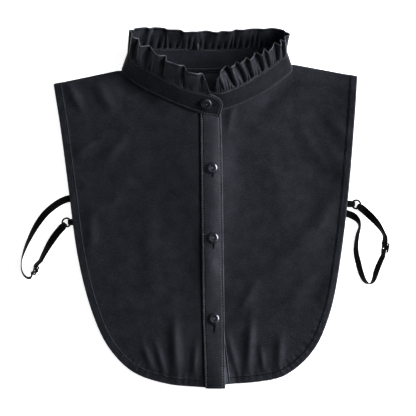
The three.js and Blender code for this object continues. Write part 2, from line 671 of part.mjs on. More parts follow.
// Collar band: a stiff strip standing on the neckline, its upper end rounded where it laps over
function collarPoint(from, to, section, share) {
  const place = section / LAST_SECTION;
  return from.getPoint(place).lerp(to.getPoint(place), share);
}

function bandSections() {
  const sections = [];
  for (let column = 0; column < BAND_COLUMNS; column += 1) {
    sections.push((TIP_SECTION * column) / BAND_COLUMNS);
  }
  for (let column = 0; column <= TIP_COLUMNS; column += 1) {
    const turn = (Math.PI / 2) * (column / TIP_COLUMNS);
    sections.push(lerp(TIP_SECTION, LAST_SECTION, Math.sin(turn)));
  }
  return sections;
}

function bandShare(section) {
  const past = Math.max(0, section - TIP_SECTION) / (LAST_SECTION - TIP_SECTION);
  return TIP_SQUARE_SHARE + (1 - TIP_SQUARE_SHARE) * Math.sqrt(Math.max(0, 1 - past ** 2));
}

function collarBand() {
  const sections = bandSections();
  const points = sections.flatMap((section) => {
    const column = [];
    for (let row = 0; row <= BAND_ROWS; row += 1) {
      const share = (bandShare(section) * row) / BAND_ROWS;
      column.push(collarPoint(footCurve, headCurve, section, share));
    }
    return column;
  });
  const quads = gridQuads(sections.length - 1, BAND_ROWS, (i, j) => i * (BAND_ROWS + 1) + j);
  return thicken(points, quads, points.map(() => BAND), sheetDirections(points, quads));
}

// Ruffle: one gathered strip on the band's head, with folds that deepen towards its rim
function ruffleColumns() {
  const columns = [];
  let phase = 0;
  let from = RUFFLE_FROM;
  for (const stretch of RUFFLE_STRETCHES) {
    const steps = Math.round(stretch.folds * COLUMNS_PER_FOLD);
    for (let step = 0; step < steps; step += 1) {
      const section = lerp(from, stretch.to, step / steps);
      const turn = 2 * Math.PI * (phase + (stretch.folds * step) / steps);
      columns.push({ section, turn, depth: stretch.depth, gather: stretch.gather });
    }
    phase += stretch.folds;
    from = stretch.to;
  }
  const last = RUFFLE_STRETCHES[RUFFLE_STRETCHES.length - 1];
  columns.push({ ...last, section: last.to, turn: 2 * Math.PI * phase });
  return columns;
}

function ruffle() {
  const columns = ruffleColumns();
  const at = (i, j) => i * (RUFFLE_ROWS + 1) + j;
  const points = [];
  for (const { section } of columns) {
    const place = section / LAST_SECTION;
    const head = headCurve.getPoint(place);
    const rim = rimCurve.getPoint(place);
    const start = RUFFLE_GAP / head.distanceTo(rim);
    for (let row = 0; row <= RUFFLE_ROWS; row += 1) {
      points.push(head.clone().lerp(rim, lerp(start, 1, row / RUFFLE_ROWS)));
    }
  }
  const quads = gridQuads(columns.length - 1, RUFFLE_ROWS, at);
  const outward = sheetDirections(points, quads);
  columns.forEach(({ turn, depth, gather }, i) => {
    const wander = FOLD_WANDER * (Math.sin(0.37 * turn + 1.3) + 0.6 * Math.sin(0.61 * turn));
    const strength = 0.8 + 0.2 * Math.sin(0.43 * turn + 0.8);
    const along = points[at(Math.min(i + 1, columns.length - 1), 0)].clone();
    along.sub(points[at(Math.max(i - 1, 0), 0)]).normalize();
    for (let row = 0; row <= RUFFLE_ROWS; row += 1) {
      const share = row / RUFFLE_ROWS;
      const swing = lerp(gather, depth * strength, share ** 0.8);
      const point = points[at(i, row)];
      point.addScaledVector(outward[at(i, row)], swing * Math.sin(turn + wander));
      point.addScaledVector(along, FOLD_LEAN * share * Math.sin(2 * (turn + wander) + 0.6));
    }
  });
  return thicken(points, quads, points.map(() => RUFFLE), sheetDirections(points, quads));
}

// Straps

// The route of a strap from the back panel to the ring's wire. Each place on it, given as a
// distance from its start, has a run, a width direction and a face direction
function strapRoute(rows, ringEdge) {
  const turns = [...rows.map((row) => row.turn), 180];
  const places = rows.map(({ x, y, turn, lift }) => {
    const lean = degToRad(turn);
    const stand = Math.abs(Math.sin(lean)) * STRAP_WIDTH + Math.abs(Math.cos(lean)) * ELASTIC;
    return [x, y, lift + stand / 2];
  });
  places.push(ringEdge.toArray());
  const last = places.length - 1;
  const line = curveThrough(places);
  line.arcLengthDivisions = DIVISIONS_PER_ROW * last;
  const turnLine = curveThrough(turns.map((turn, i) => [i * last, turn, 0]));
  const length = line.getLength();
  const frameAt = (distance) => {
    const place = line.getUtoTmapping(THREE.MathUtils.clamp(distance / length, 0, 1));
    const run = line.getTangent(place);
    const side = new THREE.Vector3(-run.y, run.x, 0).normalize();
    const up = run.clone().cross(side);
    const turn = degToRad(turnLine.getPoint(place).y);
    const width = side.clone().multiplyScalar(Math.cos(turn)).addScaledVector(up, Math.sin(turn));
    const face = up.multiplyScalar(Math.cos(turn)).addScaledVector(side, -Math.sin(turn));
    return { at: line.getPoint(place), run, width, face };
  };
  const distanceTo = (row) => line.getLengths()[DIVISIONS_PER_ROW * row];
  return { frameAt, length, distanceTo };
}

// Stations of one layer of a strap, from a table of places and offsets from the route
function layerStations(frameAt, rows, towards) {
  const stations = [];
  rows.forEach((row, i) => {
    const next = rows[Math.min(i + 1, rows.length - 1)];
    const steps = Math.max(1, Math.round(Math.abs(next.place - row.place) / STRAP_STEP));
    for (let step = 0; step < (next === row ? 1 : steps); step += 1) {
      const { at, width, face } = frameAt(lerp(row.place, next.place, step / steps));
      at.addScaledVector(face, lerp(row.offset, next.offset, step / steps));
      stations.push({ at, width, face: face.multiplyScalar(towards), across: STRAP_WIDTH });
    }
  });
  return stations;
}

// Half a turn round the ring's wire, from one layer to the other
function ringTurn({ at, run, width, face }) {
  const stations = [];
  for (let step = 0; step <= LOOP_STEPS; step += 1) {
    const turn = (Math.PI * step) / LOOP_STEPS;
    const out = face.clone().multiplyScalar(Math.cos(turn)).addScaledVector(run, Math.sin(turn));
    const centre = at.clone().addScaledVector(run, LOOP_REACH);
    stations.push({
      at: centre.addScaledVector(out, LOOP_RADIUS),
      width,
      face: out,
      across: WIDTH_IN_RING,
    });
  }
  return stations;
}

function ribbon(stations) {
  const points = stations.flatMap(({ at, width, across }) => [
    at.clone().addScaledVector(width, -across / 2),
    at.clone().addScaledVector(width, across / 2),
  ]);
  const directions = stations.flatMap(({ face }) => [face, face]);
  const quads = gridQuads(stations.length - 1, 1, (i, j) => 2 * i + j);
  return thicken(points, quads, points.map(() => ELASTIC), directions);
}

function strap({ frameAt, length }, slider) {
  const past = SLIDER_PITCH + SLIDER_BAR * SLIDER_PAST;
  const before = SLIDER_PITCH - SLIDER_BAR;
  const upper = [
    { place: 0, offset: 0 },
    { place: slider - past - SLIDER_APPROACH, offset: 0 },
    { place: slider - past, offset: -BAR_OFFSET },
    { place: slider - before, offset: -BAR_OFFSET },
    { place: slider - BAR_CROSSING, offset: BAR_OFFSET },
    { place: slider + BAR_CROSSING, offset: BAR_OFFSET },
    { place: slider + before, offset: -BAR_OFFSET },
    { place: slider + past, offset: -BAR_OFFSET },
    { place: slider + past + SLIDER_DEPARTURE, offset: LAYER_PITCH / 2 },
    { place: length - RING_TAPER, offset: LAYER_PITCH / 2 },
    { place: length - RING_START, offset: LOOP_RADIUS },
  ];
  const lower = [
    { place: length - RING_START, offset: -LOOP_RADIUS },
    { place: length - RING_TAPER, offset: -LAYER_PITCH / 2 },
    { place: slider + past + SLIDER_DEPARTURE, offset: -LAYER_PITCH / 2 },
    { place: slider + past, offset: -BAR_OFFSET - LAYER_PITCH },
    { place: slider + before - STRAP_END.stepIn, offset: -BAR_OFFSET - LAYER_PITCH },
    { place: slider + STRAP_END.wrapFrom, offset: -BAR_OFFSET },
    { place: slider - STRAP_END.wrapTo, offset: -BAR_OFFSET },
  ];
  return ribbon([
    ...layerStations(frameAt, upper, 1),
    ...ringTurn(frameAt(length)),
    ...layerStations(frameAt, lower, -1),
  ]);
}

// The tab under the hem that holds the ring: out below the wire, round it and back above it
function tab({ tabRoot, hemAt }, ringEdge) {
  const root = new THREE.Vector3(tabRoot.x, tabRoot.y, STRAP_END_LEVEL);
  const run = ringEdge.clone().sub(root).setZ(0).normalize();
  const width = new THREE.Vector3(-run.y, run.x, 0);
  const up = new THREE.Vector3(0, 0, 1);
  const reach = Math.abs((ringEdge.x - root.x) / run.x);
  const hem = Math.abs((hemAt - root.x) / run.x);
  const station = (distance, z, across, towards) => ({
    at: root.clone().addScaledVector(run, distance).setZ(z),
    width,
    face: up.clone().multiplyScalar(towards),
    across,
  });
  const below = RING_LEVEL - LOOP_RADIUS;
  const turn = ringTurn({ at: ringEdge, run, width, face: up.clone().negate() });
  return ribbon([
    station(0, STRAP_END_LEVEL, TAB_WIDTH, -1),
    station(hem - BACK_INSET, STRAP_END_LEVEL, TAB_WIDTH, -1),
    station(reach - TAB_TURN.before, below, TAB_WIDTH, -1),
    ...turn,
    station(reach - TAB_TURN.after, RING_LEVEL + LOOP_RADIUS, TAB_WIDTH, 1),
    station(hem + TAB_TAIL, RING_LEVEL + LOOP_RADIUS, TAB_WIDTH, 1),
  ].map((place) => ({ ...place, width: place.width.clone().negate() })));
}

function ring({ x, y }) {
  const wire = new THREE.TorusGeometry(RING_RADIUS, RING_WIRE, RING_SIDES, RING_STEPS);
  return wire.translate(x, y, RING_LEVEL);
}

// The slider: a flat frame with a bar across its middle
function slider({ at, run, width, face }) {
  const halfRun = SLIDER_PITCH + SLIDER_BAR / 2;
  const halfWidth = STRAP_WIDTH / 2 + SLIDER_SIDE_PLAY + SLIDER_BAR;
  const corner = SLIDER_BAR * SLIDER_CORNER;
  const outline = new THREE.Shape([
    new THREE.Vector2(halfRun - corner, -halfWidth),
    new THREE.Vector2(halfRun, corner - halfWidth),
    new THREE.Vector2(halfRun, halfWidth - corner),
    new THREE.Vector2(halfRun - corner, halfWidth),
    new THREE.Vector2(corner - halfRun, halfWidth),
    new THREE.Vector2(-halfRun, halfWidth - corner),
    new THREE.Vector2(-halfRun, corner - halfWidth),
    new THREE.Vector2(corner - halfRun, -halfWidth),
  ]);
  const window = 2 * (halfWidth - SLIDER_BAR);
  const windows = [-1, 1].map((side) =>
    new THREE.BoxGeometry(SLIDER_PITCH - SLIDER_BAR, window, 3 * SLIDER_BAR).translate(
      (side * SLIDER_PITCH) / 2,
      0,
      SLIDER_BAR / 2,
    ),
  );
  const plate = new THREE.ExtrudeGeometry(outline, { depth: SLIDER_BAR, bevelEnabled: false });
  const frame = cut(plate, windows);
  frame.translate(0, 0, -SLIDER_BAR / 2);
  return frame.applyMatrix4(new THREE.Matrix4().makeBasis(run, width, face).setPosition(at));
}

// One side's strap, slider, ring and tab
function strapPieces(side) {
  const centre = new THREE.Vector3(side.ring.x, side.ring.y, RING_LEVEL);
  const lastRow = side.strap[side.strap.length - 1];
  const towardsStrap = planPoint(lastRow).sub(planPoint(side.ring)).normalize();
  const towardsHem = planPoint(side.tabRoot).sub(planPoint(side.ring)).normalize();
  const route = strapRoute(side.strap, centre.clone().addScaledVector(towardsStrap, RING_RADIUS));
  const sliderAt = route.distanceTo(side.sliderRow);
  const tabEdge = centre.clone().addScaledVector(towardsHem, RING_RADIUS);
  return [
    piece(`${side.name}_strap`, strap(route, sliderAt), elasticFinish),
    piece(`${side.name}_slider`, slider(route.frameAt(sliderAt)), metalFinish),
    piece(`${side.name}_ring`, ring(side.ring), metalFinish),
    piece(`${side.name}_tab`, tab(side, tabEdge), clothFinish),
  ];
}

// Buttons in place
function placketButton({ name, x, y }) {
  const level = topPlacketBottom + PLACKET + frontLift(x, y) + CLEARANCE;
  const body = button(PLACKET_SHANK, 0).translate(x, y, level);
  return piece(name, body, buttonFinish);
}

function placketHoles({ x, y, slit }) {
  const level = topPlacketBottom + frontLift(x, y);
  return buttonholeCutters(slit).map((cutter) => cutter.translate(x, y, level));
}

function bandFrame({ section, share }) {
  const onBand = (step) => collarPoint(footCurve, headCurve, section + step, share);
  const run = onBand(TANGENT_STEP).sub(onBand(-TANGENT_STEP)).normalize();
  const place = section / LAST_SECTION;
  const rise = headCurve.getPoint(place).sub(footCurve.getPoint(place)).normalize();
  const out = run.clone().cross(rise).normalize();
  return new THREE.Matrix4().makeBasis(run, out.clone().cross(run), out).setPosition(onBand(0));
}

const collarFrame = bandFrame(COLLAR_BUTTON);
const bandSurface = BAND / 2 + CLEARANCE;
const collarButton = button(COLLAR_SHANK, COLLAR_BUTTON.holesTurn)
  .translate(0, 0, bandSurface)
  .applyMatrix4(collarFrame);
const collarHoles = buttonholeCutters(COLLAR_BUTTON.slit).map((cutter) =>
  cutter.rotateZ(Math.PI / 2).applyMatrix4(collarFrame),
);

const bib = new THREE.Group();
bib.add(
  piece("back_panel", backPanel(), clothFinish),
  piece("front_left", leftFront, clothFinish),
  piece("front_right", rightFront, clothFinish),
  piece("under_placket", underPlacket, clothFinish),
  piece("button_placket", cut(topPlacket, PLACKET_BUTTONS.flatMap(placketHoles)), clothFinish),
  ...PLACKET_BUTTONS.map(placketButton),
);

const collar = new THREE.Group();
collar.add(
  piece("collar_band", cut(collarBand(), collarHoles), clothFinish),
  piece("collar_ruffle", ruffle(), clothFinish),
  piece("collar_button", collarButton, buttonFinish),
);

export default new THREE.Group().add(
  bib,
  collar,
  ...strapPieces(LEFT_SIDE),
  ...strapPieces(RIGHT_SIDE),
);
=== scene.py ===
# %% [markdown]
# # A detachable collar
# This is a false shirt front: a stand-up collar with a gathered ruffle, sewn on a buttoned bib
# that is worn under a pullover. Elastic straps hold it down at the sides. It lies on its back
# on a table and is seen from straight above. The collar's construction is already made and
# packed at its real size, so this file loads it as a fixed frame and gives it its looks: real
# curved cloth, seams, stitches, buttons and straps, and a procedural finish for each.

# %% Load the frame
import math
from itertools import permutations
import bpy
import numpy as np
from mathutils import Matrix, Vector


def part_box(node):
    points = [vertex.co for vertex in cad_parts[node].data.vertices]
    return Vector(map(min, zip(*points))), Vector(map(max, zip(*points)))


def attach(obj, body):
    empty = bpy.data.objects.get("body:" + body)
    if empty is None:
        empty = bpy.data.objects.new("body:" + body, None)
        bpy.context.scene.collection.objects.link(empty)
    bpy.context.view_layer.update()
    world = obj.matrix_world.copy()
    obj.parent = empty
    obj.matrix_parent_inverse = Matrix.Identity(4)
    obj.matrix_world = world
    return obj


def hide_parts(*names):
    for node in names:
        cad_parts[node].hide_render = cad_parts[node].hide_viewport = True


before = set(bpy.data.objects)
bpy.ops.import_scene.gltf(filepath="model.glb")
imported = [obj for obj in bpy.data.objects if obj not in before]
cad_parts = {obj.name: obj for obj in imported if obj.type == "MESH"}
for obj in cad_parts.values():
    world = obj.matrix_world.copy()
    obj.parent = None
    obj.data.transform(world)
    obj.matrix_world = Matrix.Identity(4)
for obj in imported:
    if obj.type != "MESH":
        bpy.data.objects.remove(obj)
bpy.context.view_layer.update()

MM = 0.001

# %% [markdown]
# ## Camera and light
# The photograph looks straight down, and one of its pixels is one millimetre of table. A
# camera two and a half metres up has so little perspective that the rim of the ruffle keeps
# its place. The light is a soft studio light that comes mostly from the right, which is what
# draws the folds, the edges of the collar and the crescents on the buttons.

# %% Camera
CAMERA_HEIGHT, FRAMED_WIDTH = 2.5, 416 * MM


def place_new(name, data, place):
    """A new object of the data at the place, linked to the scene."""
    made = bpy.data.objects.new(name, data)
    made.location = place
    bpy.context.scene.collection.objects.link(made)
    return made


camera_data = bpy.data.cameras.new("camera")
camera_data.sensor_width = 36
camera_data.lens = camera_data.sensor_width * CAMERA_HEIGHT / FRAMED_WIDTH
camera_data.clip_start, camera_data.clip_end = 0.05, 20
bpy.context.scene.camera = place_new("camera", camera_data, (0, 0, CAMERA_HEIGHT))
print("lens", round(camera_data.lens, 1), "mm")

# %% Lights
LAMPS = [
    # name, place, width, height, power in watts
    ("key_from_the_right", (1.27, 0.4, 0.86), 1.5, 0.36, 50),
    ("strip_from_the_lower_right", (1.2, -0.7, 0.86), 1.3, 0.06, 3.5),
    ("fill_from_the_left", (-1.5, -0.3, 1.3), 1.6, 1.6, 0.4),
    ("soft_top", (0.3, 0.5, 2.1), 1.5, 1.5, 4.5),
]
SKY_STRENGTH = 0.025
for name, place, width, height, power in LAMPS:
    lamp = bpy.data.lights.new(name, "AREA")
    lamp.shape, lamp.size, lamp.size_y, lamp.energy = "RECTANGLE", width, height, power
    aim = (-Vector(place)).to_track_quat("-Z", "Y")
    place_new(name, lamp, place).rotation_euler = aim.to_euler()

world = bpy.data.worlds.new("studio")
world.use_nodes = True
sky = world.node_tree.nodes["Background"].inputs
sky["Color"].default_value, sky["Strength"].default_value = (1, 1, 1, 1), SKY_STRENGTH
bpy.context.scene.world = world
bpy.context.scene.view_settings.view_transform = "Standard"
print(len(LAMPS), "lamps")

# %% [markdown]
# ## Finishes
# Every finish is a node tree. Cloth reads the piece's own UV map, which holds metres of cloth,
# so the weave has its real pitch and follows each fold. The numbers that are the same all over
# a surface stay on the shader itself.

# %% A finish and the nodes in it


def set_inputs(node, values):
    """Gives each input its value, or links it to a socket. A _ in a name stands for a space."""
    for key, value in values.items():
        socket = node.inputs[key if isinstance(key, int) else key.replace("_", " ")]
        if isinstance(value, bpy.types.NodeSocket):
            node.id_data.links.new(value, socket)
        elif socket.type == "RGBA":
            socket.default_value = (*value, 1)
        else:
            socket.default_value = value


def new_finish(name, **values):
    finish = bpy.data.materials.new(name)
    finish.use_nodes = True
    shader = finish.node_tree.nodes["Principled BSDF"]
    set_inputs(shader, values)
    return finish, finish.node_tree, shader


def add_node(tree, kind, settings=None, **values):
    node = tree.nodes.new("ShaderNode" + kind)
    for key, value in (settings or {}).items():
        setattr(node, key, value)
    set_inputs(node, values)
    return node


def noise(tree, place, scale, **values):
    return add_node(tree, "TexNoise", Vector=place, Scale=scale, **values).outputs["Fac"]


def calculated(tree, operation, *terms):
    node = add_node(tree, "Math", {"operation": operation})
    set_inputs(node, dict(enumerate(terms)))
    return node.outputs["Value"]


def mapped(tree, value, low=0.0, high=1.0, to_low=0.0, to_high=1.0, curve="LINEAR"):
    node = add_node(
        tree, "MapRange", {"interpolation_type": curve}, Value=value, From_Min=low, From_Max=high,
        To_Min=to_low, To_Max=to_high)
    return node.outputs["Result"]


def between_colours(tree, factor, dark, light):
    """The colour runs from dark to light as factor goes from 0 to 1."""
    ramp = add_node(tree, "ValToRGB", Fac=factor)
    for stop, colour in zip(ramp.color_ramp.elements, (dark, light)):
        stop.color = (*colour, 1)
    return ramp.outputs["Color"]


def stack_bumps(tree, shader, *layers):
    """Each layer is (height socket, strength, distance in metres), the coarse ones first."""
    below = {}
    for height, strength, distance in layers:
        bump = add_node(tree, "Bump", Height=height, Strength=strength, Distance=distance, **below)
        below = {"Normal": bump.outputs["Normal"]}
    set_inputs(shader, below)


# %% Floor
bpy.ops.object.select_all(action="DESELECT")
bpy.ops.mesh.primitive_plane_add(size=30, location=(0, 0, -0.15 * MM))
floor = bpy.context.object
floor.name = "floor"
floor.data.materials.append(new_finish(
    "floor_paint", Base_Color=(0.8, 0.8, 0.8), Roughness=0.9, Specular_IOR_Level=0.1,
    Emission_Color=(1, 1, 1), Emission_Strength=0.9)[0])
print("floor made")

# %% [markdown]
# The cloth is a soft crepe: a fine plain weave of tightly twisted, uneven yarns, dyed a black
# that leans to blue. Two wave textures a yarn apart, crossed, make the weave, and noise makes
# the uneven yarns, the pebbled surface and the slight clouding of the dye. A second UV map
# holds the distance to the piece's edge, so the same finish also sinks the line where a row of
# stitches draws the cloth in and darkens it with painted shade, and lightens the fold at the
# very edge a little, partly as wear and partly as a painted highlight.

# %% Cloth finish
WAVE_PERIOD = 2 * math.pi / 20  # one wave of a wave texture of scale 1, in metres
YARN = 0.5 * MM
DARK_DYE, LIGHT_DYE = (0.0017, 0.0019, 0.0028), (0.0095, 0.0104, 0.0148)
# The second colour is painted shade for the groove of the stitches; the third tints an edge's wear
# and painted highlight
SHEEN, GROOVE_SHADE_COLOUR, WEAR_AND_HIGHLIGHT_TINT = 0.25, (0.0012, 0.0012, 0.0016), (0.78, 0.84, 1.0)
SEAM_REACH, EDGE_REACH = 0.75 * MM, 0.8 * MM
HEM_SEAM, PLACKET_SEAM, BAND_SEAM, RIM_SEAM, BACK_SEAM = 5.9, 1.5, 1.7, 2.2, 5.6
CREPES = [
    # part, distance of the seam from the edge in mm, wear and painted highlight of the edge,
    # roughness, range of shine
    ("hem", HEM_SEAM, 0.05, 0.54, (0.12, 0.3)),
    ("placket", PLACKET_SEAM, 0.07, 0.52, (0.24, 0.54)),
    ("band", BAND_SEAM, 0.07, 0.5, (0.15, 0.4)),
    ("rim", RIM_SEAM, 0.08, 0.4, (0.2, 0.6)),
    ("back", BACK_SEAM, 0.05, 0.54, (0.12, 0.3)),
]


def wave(tree, place, period, direction="X", **values):
    waves = add_node(
        tree, "TexWave", {"bands_direction": direction}, Vector=place,
        Scale=WAVE_PERIOD / period, **values)
    return waves.outputs["Fac"]


def near(tree, distance, reach):
    """1 where the distance is 0, and 0 from the reach on."""
    return mapped(tree, distance, 0.0, reach, 1.0, 0.0, "SMOOTHSTEP")


def mixed_colour(tree, factor, under, over):
    """The colour from the socket under, changed to the colour over by the factor."""
    mix = add_node(tree, "Mix", {"data_type": "RGBA"})
    set_inputs(mix, {0: factor, 6: under, 7: over})
    return mix.outputs[2]


def crepe(part, seam, wear_and_highlight, roughness, shine_range):
    finish, tree, shader = new_finish(
        f"black_crepe_{part}", Base_Color=LIGHT_DYE, Roughness=roughness, Sheen_Weight=SHEEN,
        Sheen_Roughness=0.4, Sheen_Tint=(0.76, 0.82, 1.0), Specular_Tint=(0.8, 0.84, 1.0))
    cloth = add_node(tree, "UVMap", {"uv_map": "UVMap"}).outputs["UV"]
    weave = calculated(tree, "MAXIMUM", *(
        wave(tree, cloth, YARN, way, Distortion=1.6, Detail=1.0, Detail_Scale=2.0) for way in "XY"))
    pebble = noise(tree, cloth, 0.4 / YARN, Detail=4.0, Roughness=0.65)
    cloud = noise(tree, cloth, 70.0, Detail=5.0, Roughness=0.7)
    drape = noise(tree, cloth, 60.0, Detail=3.0, Roughness=0.5)
    uneven = mapped(tree, calculated(tree, "MULTIPLY_ADD", pebble, 1.6, cloud), 0.95, 1.65)
    dye = between_colours(tree, uneven, DARK_DYE, LIGHT_DYE)

    place = add_node(tree, "UVMap", {"uv_map": "EdgeMap"}).outputs["UV"]
    inward = add_node(tree, "SeparateXYZ", Vector=place).outputs["Y"]
    beside = calculated(tree, "ABSOLUTE", calculated(tree, "SUBTRACT", inward, seam * MM))
    # Where the stitches draw the cloth in: a real groove in the bump, and painted shade that
    # darkens its colour and takes away its shine and sheen
    groove_and_shade = near(tree, beside, SEAM_REACH)
    patches = mapped(tree, cloud, 0.4, 0.62, 0.2)
    # The fold at the very edge is lightened in patches: partly wear, partly a painted highlight
    rubbed_and_highlit = calculated(tree, "MULTIPLY", near(tree, inward, EDGE_REACH), patches)
    # Painted shade: the dye is darkened along the groove of the stitches
    groove_shaded = mixed_colour(tree, groove_and_shade, dye, GROOVE_SHADE_COLOUR)
    # This colour holds the painted shade of the groove and the edge's wear and painted highlight
    worn = mixed_colour(tree, rubbed_and_highlit, groove_shaded, [wear_and_highlight * share for share in WEAR_AND_HIGHLIGHT_TINT])
    shine = mapped(tree, uneven, 0.0, 1.0, *shine_range)
    set_inputs(shader, {
        "Base Color": worn,
        "Specular IOR Level": mapped(tree, groove_and_shade, 0.0, 1.0, shine, 0.0),
        "Sheen Weight": mapped(tree, groove_and_shade, 0.0, 1.0, SHEEN, 0.0)})
    stack_bumps(
        tree, shader, (drape, 0.35, 1.2 * MM),
        (calculated(tree, "SUBTRACT", 1.0, groove_and_shade), 1.0, 0.25 * MM),
        (pebble, 0.6, 0.4 * MM), (weave, 0.5, 0.12 * MM))
    return finish


crepes = {part: crepe(part, *values) for part, *values in CREPES}
print("finishes", *(finish.name for finish in crepes.values()))

# %% [markdown]
# ## The shape of the cloth
# Three lines draw the collar: the foot, where it is sewn to the bib, the head of the band, and
# the rim of the ruffle. They are smooth curves through a few sections, from the end that lies
# under, round the back of the neck, to the end that lies on top. The construction uses the
# same sections, so what is lofted here fits what carries it.

# %% Smooth lines


class SmoothLine:
    """A curve that runs through all its points, read at places from 0 to 1."""

    def __init__(self, points):
        self.points = np.array(points, float)

    def at(self, places):
        points = self.points
        last = len(points) - 1
        row = np.vstack([2 * points[0] - points[1], points, 2 * points[-1] - points[-2]])
        spot = np.clip(np.atleast_1d(places), 0, 1) * last
        span = np.minimum(spot.astype(int), last - 1)
        share = (spot - span)[:, None]
        p0, p1, p2, p3 = (row[span + step] for step in range(4))
        d0, d1, d2 = (
            np.sqrt(np.linalg.norm(b - a, axis=1).clip(1e-6))[:, None]
            for a, b in ((p0, p1), (p1, p2), (p2, p3)))
        pull1 = ((p1 - p0) / d0 - (p2 - p0) / (d0 + d1) + (p2 - p1) / d1) * d1
        pull2 = ((p2 - p1) / d1 - (p3 - p1) / (d1 + d2) + (p3 - p2) / d2) * d1
        square = -3 * p1 + 3 * p2 - 2 * pull1 - pull2
        cube = 2 * p1 - 2 * p2 + pull1 + pull2
        return p1 + pull1 * share + square * share**2 + cube * share**3

    def even(self, count):
        """Points at equal distances along the line."""
        fine = self.at(np.linspace(0, 1, 40 * len(self.points)))
        run = lengths_along(fine)
        return read_along(fine, run, np.linspace(0, run[-1], count))


def lengths_along(points):
    return np.concatenate([[0], np.cumsum(np.linalg.norm(np.diff(points, axis=0), axis=1))])


def read_along(values, run, where):
    """The rows of values, given at lengths along a line, read at other lengths."""
    return np.stack([np.interp(where, run, column) for column in values.T], axis=1)


def columns_of(table):
    return (np.array(column) for column in zip(*table))


# %% The collar's sections
COLLAR = [
    # foot, head of the band and rim of the ruffle, in millimetres
    ((-10.0, 98.2, 6.7), (-10.0, 117.4, 17.7), (-11.0, 131.0, 30.0)),
    ((3.0, 97.2, 6.7), (2.5, 115.9, 18.0), (1.0, 128.0, 32.0)),
    ((14.7, 97.8, 6.7), (13.0, 115.2, 19.2), (15.0, 137.5, 30.5)),
    ((35.3, 104.7, 6.4), (33.0, 122.8, 19.6), (33.5, 144.5, 32.6)),
    ((59.6, 117.6, 5.8), (55.5, 136.0, 18.6), (55.5, 154.5, 34.6)),
    ((75.5, 129.0, 5.2), (70.5, 146.5, 19.2), (73.0, 164.5, 34.4)),
    ((83.9, 138.2, 4.4), (78.2, 152.6, 20.0), (79.0, 171.5, 32.0)),
    ((80.0, 143.6, 2.9), (74.5, 158.4, 13.2), (75.0, 175.6, 28.4)),
    ((50.0, 141.0, 2.3), (48.0, 160.6, 8.9), (49.0, 177.0, 23.5)),
    ((5.0, 138.0, 2.3), (5.0, 159.2, 7.4), (5.0, 174.0, 21.6)),
    ((-45.0, 138.4, 2.3), (-43.0, 159.6, 8.4), (-43.0, 177.0, 20.4)),
    ((-80.0, 141.6, 2.9), (-75.0, 157.6, 12.8), (-70.5, 178.0, 21.4)),
    ((-85.9, 137.8, 4.4), (-79.8, 152.0, 19.6), (-76.5, 175.0, 27.0)),
    ((-81.0, 130.8, 5.2), (-75.4, 147.0, 19.0), (-72.0, 168.4, 31.4)),
    ((-70.0, 122.3, 5.8), (-65.5, 140.4, 18.2), (-63.5, 160.8, 32.8)),
    ((-51.0, 112.6, 6.4), (-48.0, 130.6, 19.2), (-48.5, 151.2, 33.6)),
    ((-27.0, 101.9, 7.4), (-26.0, 119.8, 20.2), (-28.5, 140.6, 34.4)),
    ((-9.0, 95.6, 8.3), (-9.0, 115.0, 19.4), (-12.5, 133.6, 35.4)),
    ((3.0, 92.4, 8.4), (3.0, 112.6, 19.6), (-3.0, 130.6, 36.0)),
    ((11.2, 90.8, 8.4), (17.0, 110.0, 20.2), (9.0, 126.0, 36.0)),
]
LAST_SECTION = len(COLLAR) - 1
foot_line, head_line, rim_line = (SmoothLine(points) for points in zip(*COLLAR))
print("band length, mm:", round(lengths_along(foot_line.even(400))[-1]))

# %% [markdown]
# The fronts lie almost flat, but not quite: the stiff collar lifts them at the neck, they roll
# down over the shoulder seams, and the hem puckers the cloth above it. All of that is one
# height above the table, given by the place on the bib, so the fronts, the placket that lies
# on them and the buttons on the placket all rise together.

# %% Folds of the bib
SIDE_EDGES = {
    # side and lower edge of each front, from the shoulder tip round to the centre front
    "left": [
        (-153.7, 123.6), (-147.0, 82.0), (-138.3, 16.0), (-129.6, -48.8), (-116.2, -101.3),
        (-100.1, -137.0), (-75.5, -162.7), (-40.9, -175.0), (-2.4, -178.5)],
    "right": [
        (148.4, 131.2), (145.2, 83.0), (139.4, 13.0), (132.6, -45.5), (121.5, -104.6),
        (104.0, -143.0), (76.0, -167.0), (48.0, -173.2), (22.9, -175.0)],
}
NECK_POINTS = {"left": (-85.9, 137.7), "right": (81.7, 143.7)}
CLOTH, HEM, PLACKET, ELASTIC, CLEARANCE = 1.0, 1.5, 1.2, 1.0, 0.3
FRONT_BOTTOM = CLOTH + CLEARANCE + ELASTIC + CLEARANCE
PLACKET_BOTTOM = FRONT_BOTTOM + HEM + CLEARANCE
SHOULDER_DROP, SHOULDER_REACH = ELASTIC + CLEARANCE, 16.0
NECK_RISE, NECK_REACH, NECK_HALF_WIDTH = 1.7, 26.0, 84.0
LOWEST_LIFT, LIFT_BLEND = -1.2, 0.4
